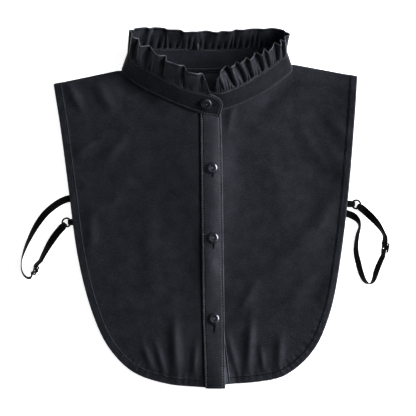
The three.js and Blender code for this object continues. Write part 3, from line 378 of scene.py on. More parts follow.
RIDGES = [
    # x, y, half length, half width, lean in degrees, height: puckers above the lower hem
    (-60.5, -149, 13, 3.6, -22, 1.5), (-48, -150, 15, 3.4, -16, 1.7),
    (-33, -141, 25, 5.4, -3, 3.2), (-13.5, -152, 15, 3.2, 4, 1.6),
    (25, -148, 17, 3.6, -14, 1.7), (41, -141, 25, 4.6, 4, 3.0),
    (54, -151, 12, 3.0, -6, 1.3), (71, -146, 16, 4.6, 4, 2.2),
    # the stack of layers at the centre front, and dips beside the collar
    (0, -54, 34, 13.0, 0, 3.0), (22, 89, 13, 4.0, 12, 1.1),
    (-72, 114, 22, 7.0, -59, -2.6), (69, 115, 28, 7.5, 49, -2.6),
    # pulls at the left shoulder and side
    (-134, 112, 13, 5.0, -28, 1.8), (-105, 112, 14, 6.0, -34, 1.7),
    (-124, 58, 15, 4.2, 57, 1.7), (-94, 58, 18, 5.5, 44, 1.5),
    (-113, -4, 17, 7.0, 62, 1.4), (-117, -24, 18, 6.0, 0, 1.5),
    (-58, -32, 42, 9.0, -4, 0.9), (-88, 20, 30, 9.0, 30, 0.9),
    # pulls at the right shoulder and side
    (128, 82, 22, 7.0, -40, 1.2), (130, 44, 26, 8.0, -30, 1.3), (104, 62, 24, 7.0, -36, 0.9),
    (116, -4, 30, 9.0, 34, 2.0), (89, -35, 28, 9.5, 54, 2.3), (122, -80, 30, 9.0, 18, 2.2),
    (92, -82, 22, 7.0, 50, 1.3), (40, -88, 17, 4.8, 31, 1.5), (70, 20, 50, 16.0, -20, 0.9),
]
SWELLS = [
    # x, y, half length, half width on the left, half width on the right, height: the stack of
    # layers at the centre front, the placket's loose foot, the right shoulder and side
    (3, 30, 52, 48, 20, 6.0), (15, -176, 30, 22, 7, 5.6), (151, 112, 27, 17, 10, 3.0),
    (151, 52, 78, 27, 12, 5.2),
]


def smooth_step(values, low, high):
    share = np.clip((values - low) / (high - low), 0, 1)
    return share * share * (3 - 2 * share)


def bump_at(values, width):
    return np.exp(-((values / width) ** 2))


def fold_lift(x, y):
    lift = np.zeros_like(x)
    for at_x, at_y, length, width, lean, height in RIDGES:
        cos, sin = math.cos(math.radians(lean)), math.sin(math.radians(lean))
        along, across = (y - at_y) * cos + (x - at_x) * sin, (x - at_x) * cos - (y - at_y) * sin
        lift += height * bump_at(along, length) * bump_at(across, width)
    for at_x, at_y, length, left, right, height in SWELLS:
        width = np.where(x < at_x, left, right)
        lift += height * bump_at(y - at_y, length) * bump_at(x - at_x, width)
    return lift


def shoulder_drop(x, y):
    depths = []
    for side, turn in (("left", 1), ("right", -1)):
        tip_x, tip_y = SIDE_EDGES[side][0]
        run_x, run_y = NECK_POINTS[side][0] - tip_x, NECK_POINTS[side][1] - tip_y
        depths.append(((x - tip_x) * run_y - (y - tip_y) * run_x) * turn / math.hypot(run_x, run_y))
    return SHOULDER_DROP * (1 - smooth_step(np.where(x < 0, *depths), 0, SHOULDER_REACH))


neck_plan = foot_line.at(np.linspace(0, 1, 121))[:, :2]


def neck_lift(x, y):
    away = np.min(np.hypot(x[:, None] - neck_plan[:, 0], y[:, None] - neck_plan[:, 1]), axis=1)
    side = np.clip(1 - (x / NECK_HALF_WIDTH) ** 4, 0, None)
    return NECK_RISE * side * bump_at(away, NECK_REACH)


def bib_lift(x, y):
    """How far the cloth of the fronts stands above the level at which it would lie flat."""
    above = neck_lift(x, y) + fold_lift(x, y) - shoulder_drop(x, y) - LOWEST_LIFT
    return LOWEST_LIFT + (above + np.sqrt(above**2 + LIFT_BLEND**2)) / 2


print("lift at the neck, mm:", bib_lift(np.array([0.0]), np.array([90.0])).round(2))

# %% [markdown]
# ## The two fronts
# A front is one flat piece of cloth with a hem folded under at its side and lower edge. The
# construction's own front is a coarse sheet, so a copy of its upper face is turned back into
# squares and subdivided until a square is about a millimetre. Each point then gets its height
# from the folds above. A wall between an upper and a lower face, with a rounded rim, makes
# real cloth of it.

# %% Helpers for meshes


def work_on(piece):
    """Leaves edit mode and selects the piece only, or nothing for None."""
    if bpy.context.object and bpy.context.object.mode != "OBJECT":
        bpy.ops.object.mode_set(mode="OBJECT")
    bpy.ops.object.select_all(action="DESELECT")
    if piece:
        piece.select_set(True)
        bpy.context.view_layer.objects.active = piece


def choose(piece, kind, wanted=None):
    """Goes into edit mode with only the wanted edges or faces selected, or with all of them."""
    work_on(piece)
    bpy.ops.object.mode_set(mode="EDIT")
    bpy.ops.mesh.select_mode(type=kind)
    bpy.ops.mesh.select_all(action="DESELECT" if wanted else "SELECT")
    if wanted:
        bpy.ops.object.mode_set(mode="OBJECT")
        for part in piece.data.polygons if kind == "FACE" else piece.data.edges:
            part.select = wanted(part)
        bpy.ops.object.mode_set(mode="EDIT")


def apply_modifier(piece, kind, **settings):
    work_on(piece)
    modifier = piece.modifiers.new(kind.lower(), kind)
    for key, value in settings.items():
        setattr(modifier, key, value)
    bpy.ops.object.modifier_apply(modifier=modifier.name)


def smooth_below(piece, degrees):
    work_on(piece)
    bpy.ops.object.shade_smooth_by_angle(angle=math.radians(degrees))


def set_map(mesh, name, values):
    """A UV map with a value for each point, given in millimetres of cloth."""
    corners = np.zeros(len(mesh.loops), int)
    mesh.loops.foreach_get("vertex_index", corners)
    layer = mesh.uv_layers.get(name) or mesh.uv_layers.new(name=name)
    layer.data.foreach_set("uv", (np.asarray(values)[corners] * MM).ravel())


def new_piece(name, points, faces, maps):
    """A mesh object of the points, given in millimetres, the faces and the UV maps."""
    mesh = bpy.data.meshes.new(name)
    mesh.from_pydata((np.asarray(points) * MM).tolist(), [], faces)
    for map_name, values in maps.items():
        set_map(mesh, map_name, values)
    mesh.polygons.foreach_set("use_smooth", [True] * len(mesh.polygons))
    return place_new(name, mesh, (0, 0, 0))


def hand_in(piece, finish, node=None):
    """Gives a piece its finish and its place in the frame."""
    piece.data.materials.append(finish)
    if node:
        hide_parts(node)
    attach(piece, "root")
    print(piece.name, len(piece.data.polygons), "faces")


def grid_faces(columns, rows):
    """Faces of a grid of points that is numbered row by row within each column."""
    i, j = np.meshgrid(np.arange(columns - 1), np.arange(rows - 1), indexing="ij")
    first = (i * rows + j).ravel()
    return np.stack([first, first + rows, first + rows + 1, first + 1], axis=1)


def unit(vectors):
    return vectors / np.maximum(np.linalg.norm(vectors, axis=-1, keepdims=True), 1e-9)


def facing(points, faces):
    """The direction in which a sheet faces at each of its points."""
    corner = [points[faces[:, i]] for i in range(4)]
    face = np.cross(corner[2] - corner[0], corner[3] - corner[1])
    total = np.zeros_like(points)
    for i in range(4):
        np.add.at(total, faces[:, i], face)
    return unit(total)


def border_sides(faces):
    """The sides that only one face has, as pairs of point numbers."""
    sides = np.concatenate([faces[:, [i, (i + 1) % 4]] for i in range(4)]).tolist()
    there = set(map(tuple, sides))
    return np.array([(a, b) for a, b in sides if (b, a) not in there])


def cloth_wall(name, upper, lower, faces, run, inward, flat=None, rim=0.45):
    """A closed wall between two faces of a sheet. Its rim bulges by a share of the thickness."""
    count = len(upper)
    border = border_sides(faces)
    a, b = border.T
    normals = facing(upper, faces)
    outward = np.zeros_like(upper)
    for end in (a, b):
        np.add.at(outward, end, np.cross(upper[b] - upper[a], normals[end]))
    rim_points = np.unique(border)
    thickness = np.linalg.norm(upper - lower, axis=1)[:, None]
    middle = ((upper + lower) / 2 + unit(outward) * thickness * rim)[rim_points]
    number = np.zeros(count, int)
    number[rim_points] = 2 * count + np.arange(len(rim_points))
    strips = [
        np.stack([a, number[a], number[b], b], axis=1),
        np.stack([number[a], a + count, b + count, number[b]], axis=1)]
    all_faces = np.concatenate([faces, faces[:, ::-1] + count, *strips])
    maps = {
        "UVMap": upper[:, :2] if flat is None else flat,
        "EdgeMap": np.stack([run, inward], axis=1)}
    maps = {key: np.concatenate([value, value, value[rim_points]]) for key, value in maps.items()}
    return new_piece(name, np.concatenate([upper, lower, middle]), all_faces.tolist(), maps)


def laid_wall(name, x, y, faces, top, bottom, run, inward):
    """A cloth wall that lies on the table, with its upper face up."""
    upper, lower = (np.stack([x, y, height], axis=1) for height in (top, bottom))
    if facing(upper, faces)[:, 2].mean() < 0:
        faces = faces[:, ::-1]
    return cloth_wall(name, upper, lower, faces, run, inward)


# %% A fine sheet from a node of the frame


def node_copy(node, name="copy", angle=None):
    """A copy of a node's mesh to work on, joined up, and dissolved to its outlines."""
    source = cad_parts[node]
    copy = place_new(name, source.data.copy(), (0, 0, 0))
    copy.data.name = name
    copy.data.materials.clear()
    copy.matrix_world = source.matrix_world
    choose(copy, "FACE")
    bpy.ops.mesh.remove_doubles(threshold=0.01 * MM)
    if angle:
        bpy.ops.mesh.dissolve_limited(angle_limit=math.radians(angle))
    work_on(copy)
    return copy


def upper_sheet(node, levels):
    """The upper face of a flat node, as fine squares: its points in the plan, and its faces."""
    sheet = node_copy(node)
    choose(sheet, "FACE", lambda face: face.normal.z < 0.5)
    bpy.ops.mesh.delete(type="FACE")
    bpy.ops.mesh.select_all(action="SELECT")
    bpy.ops.mesh.tris_convert_to_quads()
    apply_modifier(
        sheet, "SUBSURF", levels=levels, render_levels=levels, boundary_smooth="PRESERVE_CORNERS")
    points = np.zeros(3 * len(sheet.data.vertices))
    sheet.data.vertices.foreach_get("co", points)
    faces = np.array([face.vertices[:] for face in sheet.data.polygons])
    bpy.data.objects.remove(sheet)
    x, y = points.reshape(-1, 3)[:, :2].T / MM
    return x, y, faces


# %% The hem of a front
HEM_WIDTH, FRONT_LEVELS = 6.5, 3  # how often a front's sheet is subdivided
SEAM_SINK, SEAM_HALF_WIDTH = 0.38, 0.55
side_lines = {side: SmoothLine(edge).even(900) for side, edge in SIDE_EDGES.items()}
side_runs = {side: lengths_along(line) for side, line in side_lines.items()}


def nearest_of(points, line):
    """The distance from each point to the nearest one of a line, and that one's number."""
    distance, nearest = np.empty(len(points)), np.empty(len(points), int)
    for part in np.array_split(np.arange(len(points)), 1 + len(points) // 1500):
        away = np.linalg.norm(points[part, None] - line, axis=2)
        nearest[part], distance[part] = away.argmin(axis=1), away.min(axis=1)
    return distance, nearest


def near_edge(side, x, y):
    """The distance to a front's side and lower edge, and how far round it that is."""
    distance, nearest = nearest_of(np.stack([x, y], axis=1), side_lines[side])
    return distance, side_runs[side][nearest]


def seam_groove(away):
    """Stitches draw the cloth in along their row."""
    return -SEAM_SINK * bump_at(away, SEAM_HALF_WIDTH)


def seam_pucker(away, run, size=0.16, reach=6.0):
    """Small ripples across a seam, because its thread is tighter than the cloth."""
    ripple = np.sin(run / 1.15 + 1.8 * np.sin(run / 9.7)) + 0.7 * np.sin(run / 2.3 + 2)
    return size * ripple * bump_at(away, reach) * (1 - bump_at(away, 0.8))


def front_top(side, x, y):
    distance, run = near_edge(side, x, y)
    fold = (HEM - CLOTH) * (1 - smooth_step(distance, HEM_SEAM + 0.2, HEM_WIDTH + 0.9))
    pucker = seam_pucker(distance - HEM_SEAM, run)
    return FRONT_BOTTOM + CLOTH + bib_lift(x, y) + (fold + pucker)


for side in ("left", "right"):
    x, y, faces = upper_sheet(f"front_{side}", FRONT_LEVELS)
    distance, run = near_edge(side, x, y)
    bottom = FRONT_BOTTOM + bib_lift(x, y)
    front = laid_wall(
        f"{side}_front_cloth", x, y, faces, front_top(side, x, y), bottom, run, distance)
    hand_in(front, crepes["hem"], f"front_{side}")

# %% [markdown]
# ## The back panel
# The back is a plain piece that lies flat on the table under everything else. It shows inside
# the neck and from below. Its node is dissolved back to one outline, a hem strip is inset
# round it, and a grid of cuts gives it points enough for the slight waves of cloth at rest.

# %% Back panel
BACK_INSETS = [(6.0, 0), (0.8, -0.12), (1.0, 0.06)]  # width and depth: the hem, and its seam
BACK_CUT, BACK_WAVE, BACK_EDGE = 6.0, 0.22, 0.3  # the cuts of the grid are BACK_CUT apart


def cut_in_grid(piece, step):
    low, high = np.min(piece.bound_box, axis=0), np.max(piece.bound_box, axis=0)
    for axis in (0, 1):
        plane = np.eye(3)[axis]
        for place in np.arange(low[axis] + step / 2, high[axis], step):
            bpy.ops.mesh.select_all(action="SELECT")
            bpy.ops.mesh.bisect(plane_co=plane * place, plane_no=plane)


def outline_distance(points, outline):
    """How far points of the plan are from a closed outline."""
    start, step = outline, np.roll(outline, -1, axis=0) - outline
    away = points[:, None] - start
    share = np.clip((away * step).sum(axis=2) / (step**2).sum(axis=1), 0, 1)
    return np.linalg.norm(away - share[:, :, None] * step, axis=2).min(axis=1)


back = node_copy("back_panel", "back_cloth", angle=1)
top = max(back.data.polygons, key=lambda face: face.center.z)
outline = np.array([back.data.vertices[i].co[:2] for i in top.vertices]) / MM
choose(back, "FACE", lambda face: abs(face.normal.z) > 0.9)
for width, depth in BACK_INSETS:
    bpy.ops.mesh.inset(thickness=width * MM, depth=depth * MM)
cut_in_grid(back, BACK_CUT * MM)
choose(back, "FACE", lambda face: abs(face.normal.z) < 0.2)
bpy.ops.mesh.bevel(offset=BACK_EDGE * MM, segments=2, affect="EDGES")
work_on(back)
for vertex in back.data.vertices:
    x, y, z = (c / MM for c in vertex.co)
    ripple = math.sin(x / 21 + 1) * math.sin(y / 27) + 0.5 * math.sin((x + y) / 13)
    vertex.co.z += BACK_WAVE * ripple * MM * max(0, z - 0.5)
smooth_below(back, 40)
plan = np.array([vertex.co[:2] for vertex in back.data.vertices]) / MM
set_map(back.data, "UVMap", plan)
set_map(back.data, "EdgeMap", np.stack([plan[:, 1], outline_distance(plan, outline)], axis=1))
hand_in(back, crepes["back"], "back_panel")

# %% [markdown]
# ## The plackets
# The buttons and buttonholes are on two strips. The upper one is folded cloth, twice as thick
# as the bib, stitched down both sides and cut off plainly below the hem. It is a fine grid
# whose height follows the bib, so it rides over the same folds, and each buttonhole is a real
# slot cut through it.

# %% Placket strips
PLACKET_LINE = [
    # y, left edge, right edge
    (-179.6, -2.4, 16.9), (-112.0, -4.7, 16.1), (-30.0, -5.8, 14.9), (41.0, -6.6, 14.1),
    (94.6, -7.2, 12.6),
]
UNDER_PLACKET_EDGE = [
    # y, right edge
    (-175.4, 22.6), (-132.0, 17.0), (-92.0, 14.8), (-20.0, 13.2), (99.4, 12.0),
]
PLACKET_LAP, UNDER_PLACKET_INSET = 3.2, 1.2
PLACKET_GRID, UNDER_PLACKET_GRID = (30, 300, 0.55), (24, 280, 0.5)  # columns, rows, bunching
PLACKET_SWELL, PLACKET_EASE = 0.35, 0.25  # it is fuller in the middle, and pressed
PLACKET_PUCKER = (0.12, 4)
placket_y, placket_left, placket_right = columns_of(PLACKET_LINE)
under_y, under_right = columns_of(UNDER_PLACKET_EDGE)


def placket_left_at(y):
    return np.interp(y, placket_y, placket_left)


def placket_right_at(y):
    return np.interp(y, placket_y, placket_right)


def under_left_at(y):
    return placket_left_at(y) + PLACKET_LAP + UNDER_PLACKET_INSET


def under_right_at(y):
    return np.interp(y, under_y, under_right)


def bunched(count, bunch):
    """Shares from 0 to 1 that are drawn together at both ends."""
    share = np.linspace(0, 1, count)
    return share - bunch * np.sin(2 * math.pi * share) / (2 * math.pi)


def strip_sheet(left_at, right_at, y_range, columns, rows, bunch):
    """Points of a strip, with its columns drawn together at its two edges."""
    y = np.repeat(np.linspace(*y_range, rows)[None, :], columns, axis=0)
    x = left_at(y) + bunched(columns, bunch)[:, None] * (right_at(y) - left_at(y))
    return x.ravel(), y.ravel(), grid_faces(columns, rows)


def placket_top(x, y):
    left, right = x - placket_left_at(y), placket_right_at(y) - x
    relief = seam_groove(left - PLACKET_SEAM) + seam_groove(right - PLACKET_SEAM)
    relief += seam_pucker(left - PLACKET_SEAM, y, *PLACKET_PUCKER)
    relief += seam_pucker(right, y + 5, *PLACKET_PUCKER)
    swell = PLACKET_SWELL * np.sin(math.pi * left / (left + right)) - PLACKET_EASE
    return PLACKET_BOTTOM + PLACKET + bib_lift(x, y) + (relief + swell)


x, y, faces = strip_sheet(placket_left_at, placket_right_at, placket_y[[0, -1]], *PLACKET_GRID)
button_placket = laid_wall(
    "button_placket_cloth", x, y, faces, placket_top(x, y), PLACKET_BOTTOM + bib_lift(x, y), y,
    np.minimum(x - placket_left_at(y), placket_right_at(y) - x))
print("placket", round(placket_y[-1] - placket_y[0]), "mm long")

# %% Buttonholes
BUTTONHOLE_WIDTH, BUTTONHOLE_EYE = 1.0, 1.4
PLACKET_BUTTONS = [
    # name, x, y, length of the buttonhole below the button's middle
    ("placket_button_upper", 4.2, 39.8, 8.5), ("placket_button_middle", 5.2, -29.7, 10.0),
    ("placket_button_lower", 6.1, -110.4, 13.6),
]


def take_new():
    """The object that was just added, with its place and scale taken into its mesh."""
    bpy.ops.object.transform_apply()
    return bpy.context.object


def add_cylinder(sides, radius, height, place):
    """An upright cylinder about the place, made after everything else is deselected."""
    work_on(None)
    bpy.ops.mesh.primitive_cylinder_add(
        vertices=sides, radius=radius, depth=height, location=place)
    return take_new()


def combine(piece, other, operation):
    apply_modifier(piece, "BOOLEAN", operation=operation, object=other)
    bpy.data.objects.remove(other)


def cut_buttonhole(piece, slit, placement, turn=0.0):
    """Cuts a slot with a round eye at its upper end, set in place by a matrix in millimetres."""
    work_on(None)
    bpy.ops.mesh.primitive_cube_add(size=1, location=(0, -slit / 2, 0))
    bpy.context.object.scale = (BUTTONHOLE_WIDTH, slit, 8)
    slot = take_new()
    combine(slot, add_cylinder(24, BUTTONHOLE_EYE, 8, (0, 0, 0)), "UNION")
    deep_inside = np.full((len(slot.data.vertices), 2), 20.0)
    for name in ("UVMap", "EdgeMap"):
        set_map(slot.data, name, deep_inside)
    slot.data.transform(Matrix.Scale(MM, 4) @ placement @ Matrix.Rotation(turn, 4, "Z"))
    combine(piece, slot, "DIFFERENCE")


def one_value(function, x, y):
    return float(function(np.array([x]), np.array([y]))[0])


for name, x, y, slit in PLACKET_BUTTONS:
    cut_buttonhole(button_placket, slit, Matrix.Translation((x, y, one_value(placket_top, x, y))))
hand_in(button_placket, crepes["placket"], "button_placket")

# %% The strip under it
x, y, faces = strip_sheet(
    under_left_at, under_right_at, under_y[[0, -1]], *UNDER_PLACKET_GRID)
bottom, inward = FRONT_BOTTOM + bib_lift(x, y), under_right_at(y) - x
under_placket = laid_wall(
    "under_placket_cloth", x, y, faces, bottom + PLACKET + seam_groove(inward - PLACKET_SEAM),
    bottom, y, inward)
hand_in(under_placket, crepes["placket"], "under_placket")

# %% [markdown]
# ## The collar band
# The band is two layers of cloth with a stiff layer between them, turned in at every edge and
# stitched close to it. That makes a narrow, slightly swollen border outside the stitches. Its
# front end is rounded and laps over the other one. The loft has its rows drawn together at
# both edges, where the border and the groove of the stitches need them.

# %% Band
BAND, BAND_RIM, BAND_GROOVE, BAND_PUCKER = 1.6, 0.62, 0.55, (0.052, 3.5)
TIP_SECTION, TIP_SQUARE_SHARE, TIP_COLUMNS = 17.9, 0.45, 26
BAND_STEP, BAND_ROWS, BAND_BUNCH = 1.1, 27, 0.75


def band_share(section):
    """How much of the band's height there is at a section: it is rounded off at the tip."""
    past = np.clip((section - TIP_SECTION) / (LAST_SECTION - TIP_SECTION), 0, 1)
    return TIP_SQUARE_SHARE + (1 - TIP_SQUARE_SHARE) * np.sqrt(1 - past**2)


def even_sections(line, start, end, step):
    """Sections from start to end that lie the same length apart on a line."""
    fine = np.linspace(start, end, 4000)
    run = lengths_along(line.at(fine / LAST_SECTION))
    return np.interp(np.linspace(0, run[-1], 1 + round(run[-1] / step)), run, fine)


def band_points(sections, shares):
    foot, head = (line.at(sections / LAST_SECTION) for line in (foot_line, head_line))
    return foot + (head - foot) * shares[:, None]


tip_turns = np.linspace(0, math.pi / 2, TIP_COLUMNS)[1:]
band_sections = np.concatenate([
    even_sections(head_line, 0, TIP_SECTION, BAND_STEP),
    TIP_SECTION + (LAST_SECTION - TIP_SECTION) * np.sin(tip_turns)])
sections = np.repeat(band_sections, BAND_ROWS)
shares = np.tile(bunched(BAND_ROWS, BAND_BUNCH), len(band_sections)) * band_share(sections)
band_sheet = band_points(sections, shares)
band_faces = grid_faces(len(band_sections), BAND_ROWS)
band_out = facing(band_sheet, band_faces)


def border_distance(points, faces):
    """How far each point of a sheet is from the sheet's border."""
    border = border_sides(faces)
    rim = np.concatenate([points[border[:, 0]], points[border].mean(axis=1)])
    return nearest_of(points, rim)[0]


inward = border_distance(band_sheet, band_faces)
feet = band_sheet[::BAND_ROWS]
run = np.repeat(lengths_along(feet), BAND_ROWS)
# Half the band's thickness: swollen at the border, drawn in at the stitches
half = BAND / 2 * (BAND_RIM + (1 - BAND_RIM) * smooth_step(inward, 0, 0.9))
half += BAND_GROOVE * seam_groove(inward - BAND_SEAM)
half += seam_pucker(inward - BAND_SEAM, run, *BAND_PUCKER)
rise = np.linalg.norm(band_sheet - np.repeat(feet, BAND_ROWS, axis=0), axis=1)
upper, lower = (band_sheet + band_out * half[:, None] * way for way in (1, -1))
collar_band = cloth_wall(
    "collar_band_cloth", upper, lower, band_faces, run, inward, np.stack([run, rise], axis=1))

# %% The collar button's place on the band
COLLAR_BUTTON_SECTION, COLLAR_BUTTON_SHARE, COLLAR_SLIT = 17.62, 0.54, 7.5


def band_place(section, share):
    """A frame on the band: X along it, Y up it and Z out of it, in millimetres."""
    around = section + np.array([-0.2, 0.0, 0.2])
    before, at, after = band_points(around, np.full(3, share))
    run = Vector(after - before).normalized()
    foot, head = band_points(np.array([section, section]), np.array([0.0, 1.0]))
    out = run.cross(Vector(head - foot).normalized()).normalized()
    frame_of_band = Matrix((run, out.cross(run), out)).transposed().to_4x4()
    frame_of_band.translation = Vector(at)
    return frame_of_band


collar_button_place = band_place(COLLAR_BUTTON_SECTION, COLLAR_BUTTON_SHARE)
cut_buttonhole(collar_band, COLLAR_SLIT, collar_button_place, math.pi / 2)
hand_in(collar_band, crepes["band"], "collar_band")

# %% [markdown]
# ## The ruffle
# A ruffle is one long strip drawn up on a thread. At the seam it is held in many small
# gathers, which fade upwards, and its free edge swings out and in in wider folds that differ
# from place to place: long slanting ones at the right front, broad scallops at the left front,
# and a nearly smooth edge with a few steps at the back. The wide folds are listed place by
# place. The small gathers draw their widths and reaches from a seeded generator,
# because nothing about gathered cloth is regular.

# %% Ruffle folds
RUFFLE, RUFFLE_HEM, RUFFLE_HEM_WIDTH = 0.75, 0.95, (1.5, 2.4)
RUFFLE_FROM, RUFFLE_TO, RUFFLE_TUCK = 1.45, 17.98, 0.7
RUFFLE_ROWS, RUFFLE_STEP = 26, 0.44
RIM_FOLDS = [
    # section, how far the free edge stands out there, in millimetres
    (1.45, 1.0), (1.62, 3.4), (1.95, 0.8), (2.2, -4.4), (2.34, 3.8), (2.56, 1.6), (2.8, -4.4),
    (2.92, 2.6), (3.04, 0.6), (3.18, -3.8), (3.3, 4.6), (3.5, 1.4), (3.68, -4.4), (3.79, 3.8),
    (4.05, -4.0), (4.16, 3.4), (4.38, 1.0), (4.58, -3.8), (4.72, 3.4), (5.1, -3.0),
    (5.3, 2.4), (5.6, -2.2), (6.0, 1.4), (6.5, -1.0),
    (7.1, 0.2), (7.5, 2.2), (7.8, 1.2), (8.0, 2.6), (8.2, 1.8), (8.34, 0.6), (8.5, 2.4),
    (8.66, -0.2), (8.78, 0.9), (8.9, -0.6), (9.0, 0.8), (9.12, 3.4), (9.26, 1.4),
    (9.4, 0.0), (9.55, -1.8), (9.68, 0.6), (9.9, 0.0), (10.05, 2.6), (10.3, 3.4),
    (10.46, -0.4), (10.65, 0.9), (10.85, -0.6), (11.1, 1.2), (11.5, -1.4), (11.9, 1.4),
    (12.3, -1.6), (12.7, 1.2), (13.15, -2.8), (13.55, -1.0), (13.9, 4.2), (14.25, -4.6),
    (14.6, -1.2), (14.95, 1.4), (15.22, -4.2), (15.45, 2.8), (15.85, 0.8), (16.28, -4.0),
    (16.6, 3.2), (17.2, 1.2), (17.75, -3.6), (17.98, 1.2),
]
FOLD_KINDS = [
    # section, slant of the folds in millimetres, how low they start, size and width of the
    # gathers, and whether the gathers are seen from outside (1) or inside (-1)
    (1.45, 14, 0.35, 0.9, 3.8, 1), (2.4, 12, 0.35, 1.0, 3.8, 1), (3.3, 8, 0.35, 1.0, 3.8, 1),
    (5.0, 5, 0.5, 0.9, 4, 1), (6.2, 4, 0.9, 0.8, 4, 0), (7.5, 4, 1.3, 1.9, 5, -1),
    (10.8, 4, 1.3, 2.0, 5.5, -1), (11.9, 1, 1.0, 1.0, 6, 0), (12.6, -2, 0.6, 1.0, 6, 1),
    (17.98, -5, 0.6, 1.1, 8, 1),
]
GATHERS, GATHER_SPREAD, GATHER_REACHES, GATHER_SIZES = 160, (0.65, 1.4), (0.35, 1.1), (0.55, 1.3)
SEAM_MARGIN, CORNER_FALL, RIM_UNEVEN, SWAY = 20.0, 0.16, 0.03, 1.2
BACK_FLARE, BACK_MIDDLE, BACK_REACH = 0.4, 9.4, 2.6  # the back curls over, between its corners
PINCH_X, PINCH, PINCH_WIDTH = -10.0, 3.2, 2.2  # a tuck that was caught in the seam at the back
chance = np.random.default_rng(11)
gather_reaches = chance.uniform(*GATHER_REACHES, GATHERS)
gather_sizes = chance.uniform(*GATHER_SIZES, GATHERS)
rim_rises = chance.uniform(-1, 1, GATHERS)


def between(values, places):
    """A value that runs smoothly from one whole place's value to the next one's."""
    whole = np.floor(places).astype(int)
    share = smooth_step(places - whole, 0, 1)
    return values[whole] * (1 - share) + values[whole + 1] * share


def rim_swing(sections):
    at, out = columns_of(RIM_FOLDS)
    return between(out, np.interp(sections, at, np.arange(len(at))).clip(0, len(at) - 1.001))


def gather_seams(run, widths):
    """Where the gathers meet along the seam, drawn one by one until the strip is full."""
    seams = [-SEAM_MARGIN]
    while seams[-1] < run[-1] + SEAM_MARGIN:
        width = np.interp(seams[-1], run, widths)
        seams.append(seams[-1] + width * chance.uniform(*GATHER_SPREAD))
    return np.array(seams)


print(len(RIM_FOLDS), "folds at the rim")

# %% The strip before it is folded
sections = even_sections(rim_line, RUFFLE_FROM, RUFFLE_TO, RUFFLE_STEP)
head, rim = (line.at(sections / LAST_SECTION) for line in (head_line, rim_line))
run = lengths_along(rim)
s = np.linspace(0, 1, RUFFLE_ROWS)[None, :]  # from the seam to the free edge
sewn_in = (RUFFLE_TUCK / np.linalg.norm(rim - head, axis=1))[:, None]
corner = 1 - CORNER_FALL * (1 - smooth_step(np.minimum(run, run[-1] - run), 0, 5))
rise = corner[:, None] * (1 + RIM_UNEVEN * s * between(rim_rises, run / 9)[:, None])
up = (s * (1 + sewn_in) - sewn_in) * rise
strip = head[:, None] + (rim - head)[:, None] * up[:, :, None]
flare = BACK_FLARE * np.exp(-(((sections - BACK_MIDDLE) / BACK_REACH) ** 4))[:, None]
strip[:, :, 2] += flare * (rim - head)[:, 2:] * s * (1 - s)
faces = grid_faces(len(sections), RUFFLE_ROWS)
out = facing(strip.reshape(-1, 3), faces).reshape(strip.shape)
print("free edge", round(run[-1]), "mm long before its folds")

# %% Folded and gathered
kind_at, *kinds = columns_of(FOLD_KINDS)
slant, start, gather, width, side = (np.interp(sections, kind_at, kind)[:, None] for kind in kinds)
fold_sections = np.interp(run[:, None] - slant * (1 - s), run, sections)
away = rim_swing(fold_sections) * smooth_step(s, 0.0, 0.14) * s**start
seams = gather_seams(run, width[:, 0])
gathers = np.interp(run[:, None] - 0.6 * slant * (1 - s), seams, np.arange(len(seams)))
ripple = side * (2 * np.abs(np.sin(math.pi * gathers)) ** 0.8 - 1)
size = gather * between(gather_sizes, gathers) * smooth_step(s, 0, 0.08)
away += ripple * size * np.clip(1 - s / between(gather_reaches, gathers), 0, 1) ** 1.2
pinch_run = run[np.argmin(np.hypot(head[:, 0] - PINCH_X, head[:, 1] - head[:, 1].max()))]
pinch = bump_at(run[:, None] - pinch_run, PINCH_WIDTH)
away -= PINCH * pinch * smooth_step(s, 0, 0.08) * (1 - smooth_step(s, 0.1, 0.34))
sway = SWAY * s * np.sin(2 * math.pi * run / 17 + 1.3)[:, None]
along = unit(np.gradient(head, axis=0))
strip = strip + out * away[:, :, None] + along[:, None] * sway[:, :, None]

points = strip.reshape(-1, 3)
height = np.linalg.norm(strip[:, -1] - strip[:, 0], axis=1)
rise, fall = ((height[:, None] * share).ravel() for share in (s, 1 - s))
run = np.repeat(lengths_along(strip[:, -1]), RUFFLE_ROWS)
hem = 1 - smooth_step(fall, *RUFFLE_HEM_WIDTH)
half = facing(points, faces) * (RUFFLE * (1 - hem) + RUFFLE_HEM * hem)[:, None] / 2
hand_in(cloth_wall(
    "ruffle_cloth", points + half, points - half, faces, run, fall,
    np.stack([run, rise], axis=1), 0.5), crepes["rim"], "collar_ruffle")
print("ruffle strip", round(run[-1]), "by", round(height.mean(), 1), "mm")

# %% [markdown]
# ## Finishes of the small pieces
# Thread is twisted yarn with a dull shine. The topstitch thread is dyed a lighter grey than the
# cloth, partly as a painted highlight along its rows. The buttons are polished black resin with a
# faint swirl. The elastic is a narrow braid with ribs across it. Rings and sliders are steel with
# a baked black coat that is a little uneven.

# %% Thread, resin, elastic and coated steel


def noisy_finish(name, dark, light, texture, bump, worn=None, **values):
    """Noise dyes it from dark to light and wears its gloss, and more noise raises it.

    Its texture is (scale, detail, distortion), and its bump (scale, detail, strength, mm).
    """
    finish, tree, shader = new_finish(name, **values)
    place = add_node(tree, "TexCoord").outputs["Object"]
    scale, detail, distortion = texture
    pattern = noise(tree, place, scale, Detail=detail, Distortion=distortion)
    set_inputs(shader, {"Base Color": between_colours(tree, pattern, dark, light)})
    if worn:
        set_inputs(shader, {"Roughness": mapped(tree, pattern, 0.0, 1.0, *worn)})
    scale, detail, strength, distance = bump
    stack_bumps(tree, shader, (noise(tree, place, scale, Detail=detail), strength, distance * MM))
    return finish


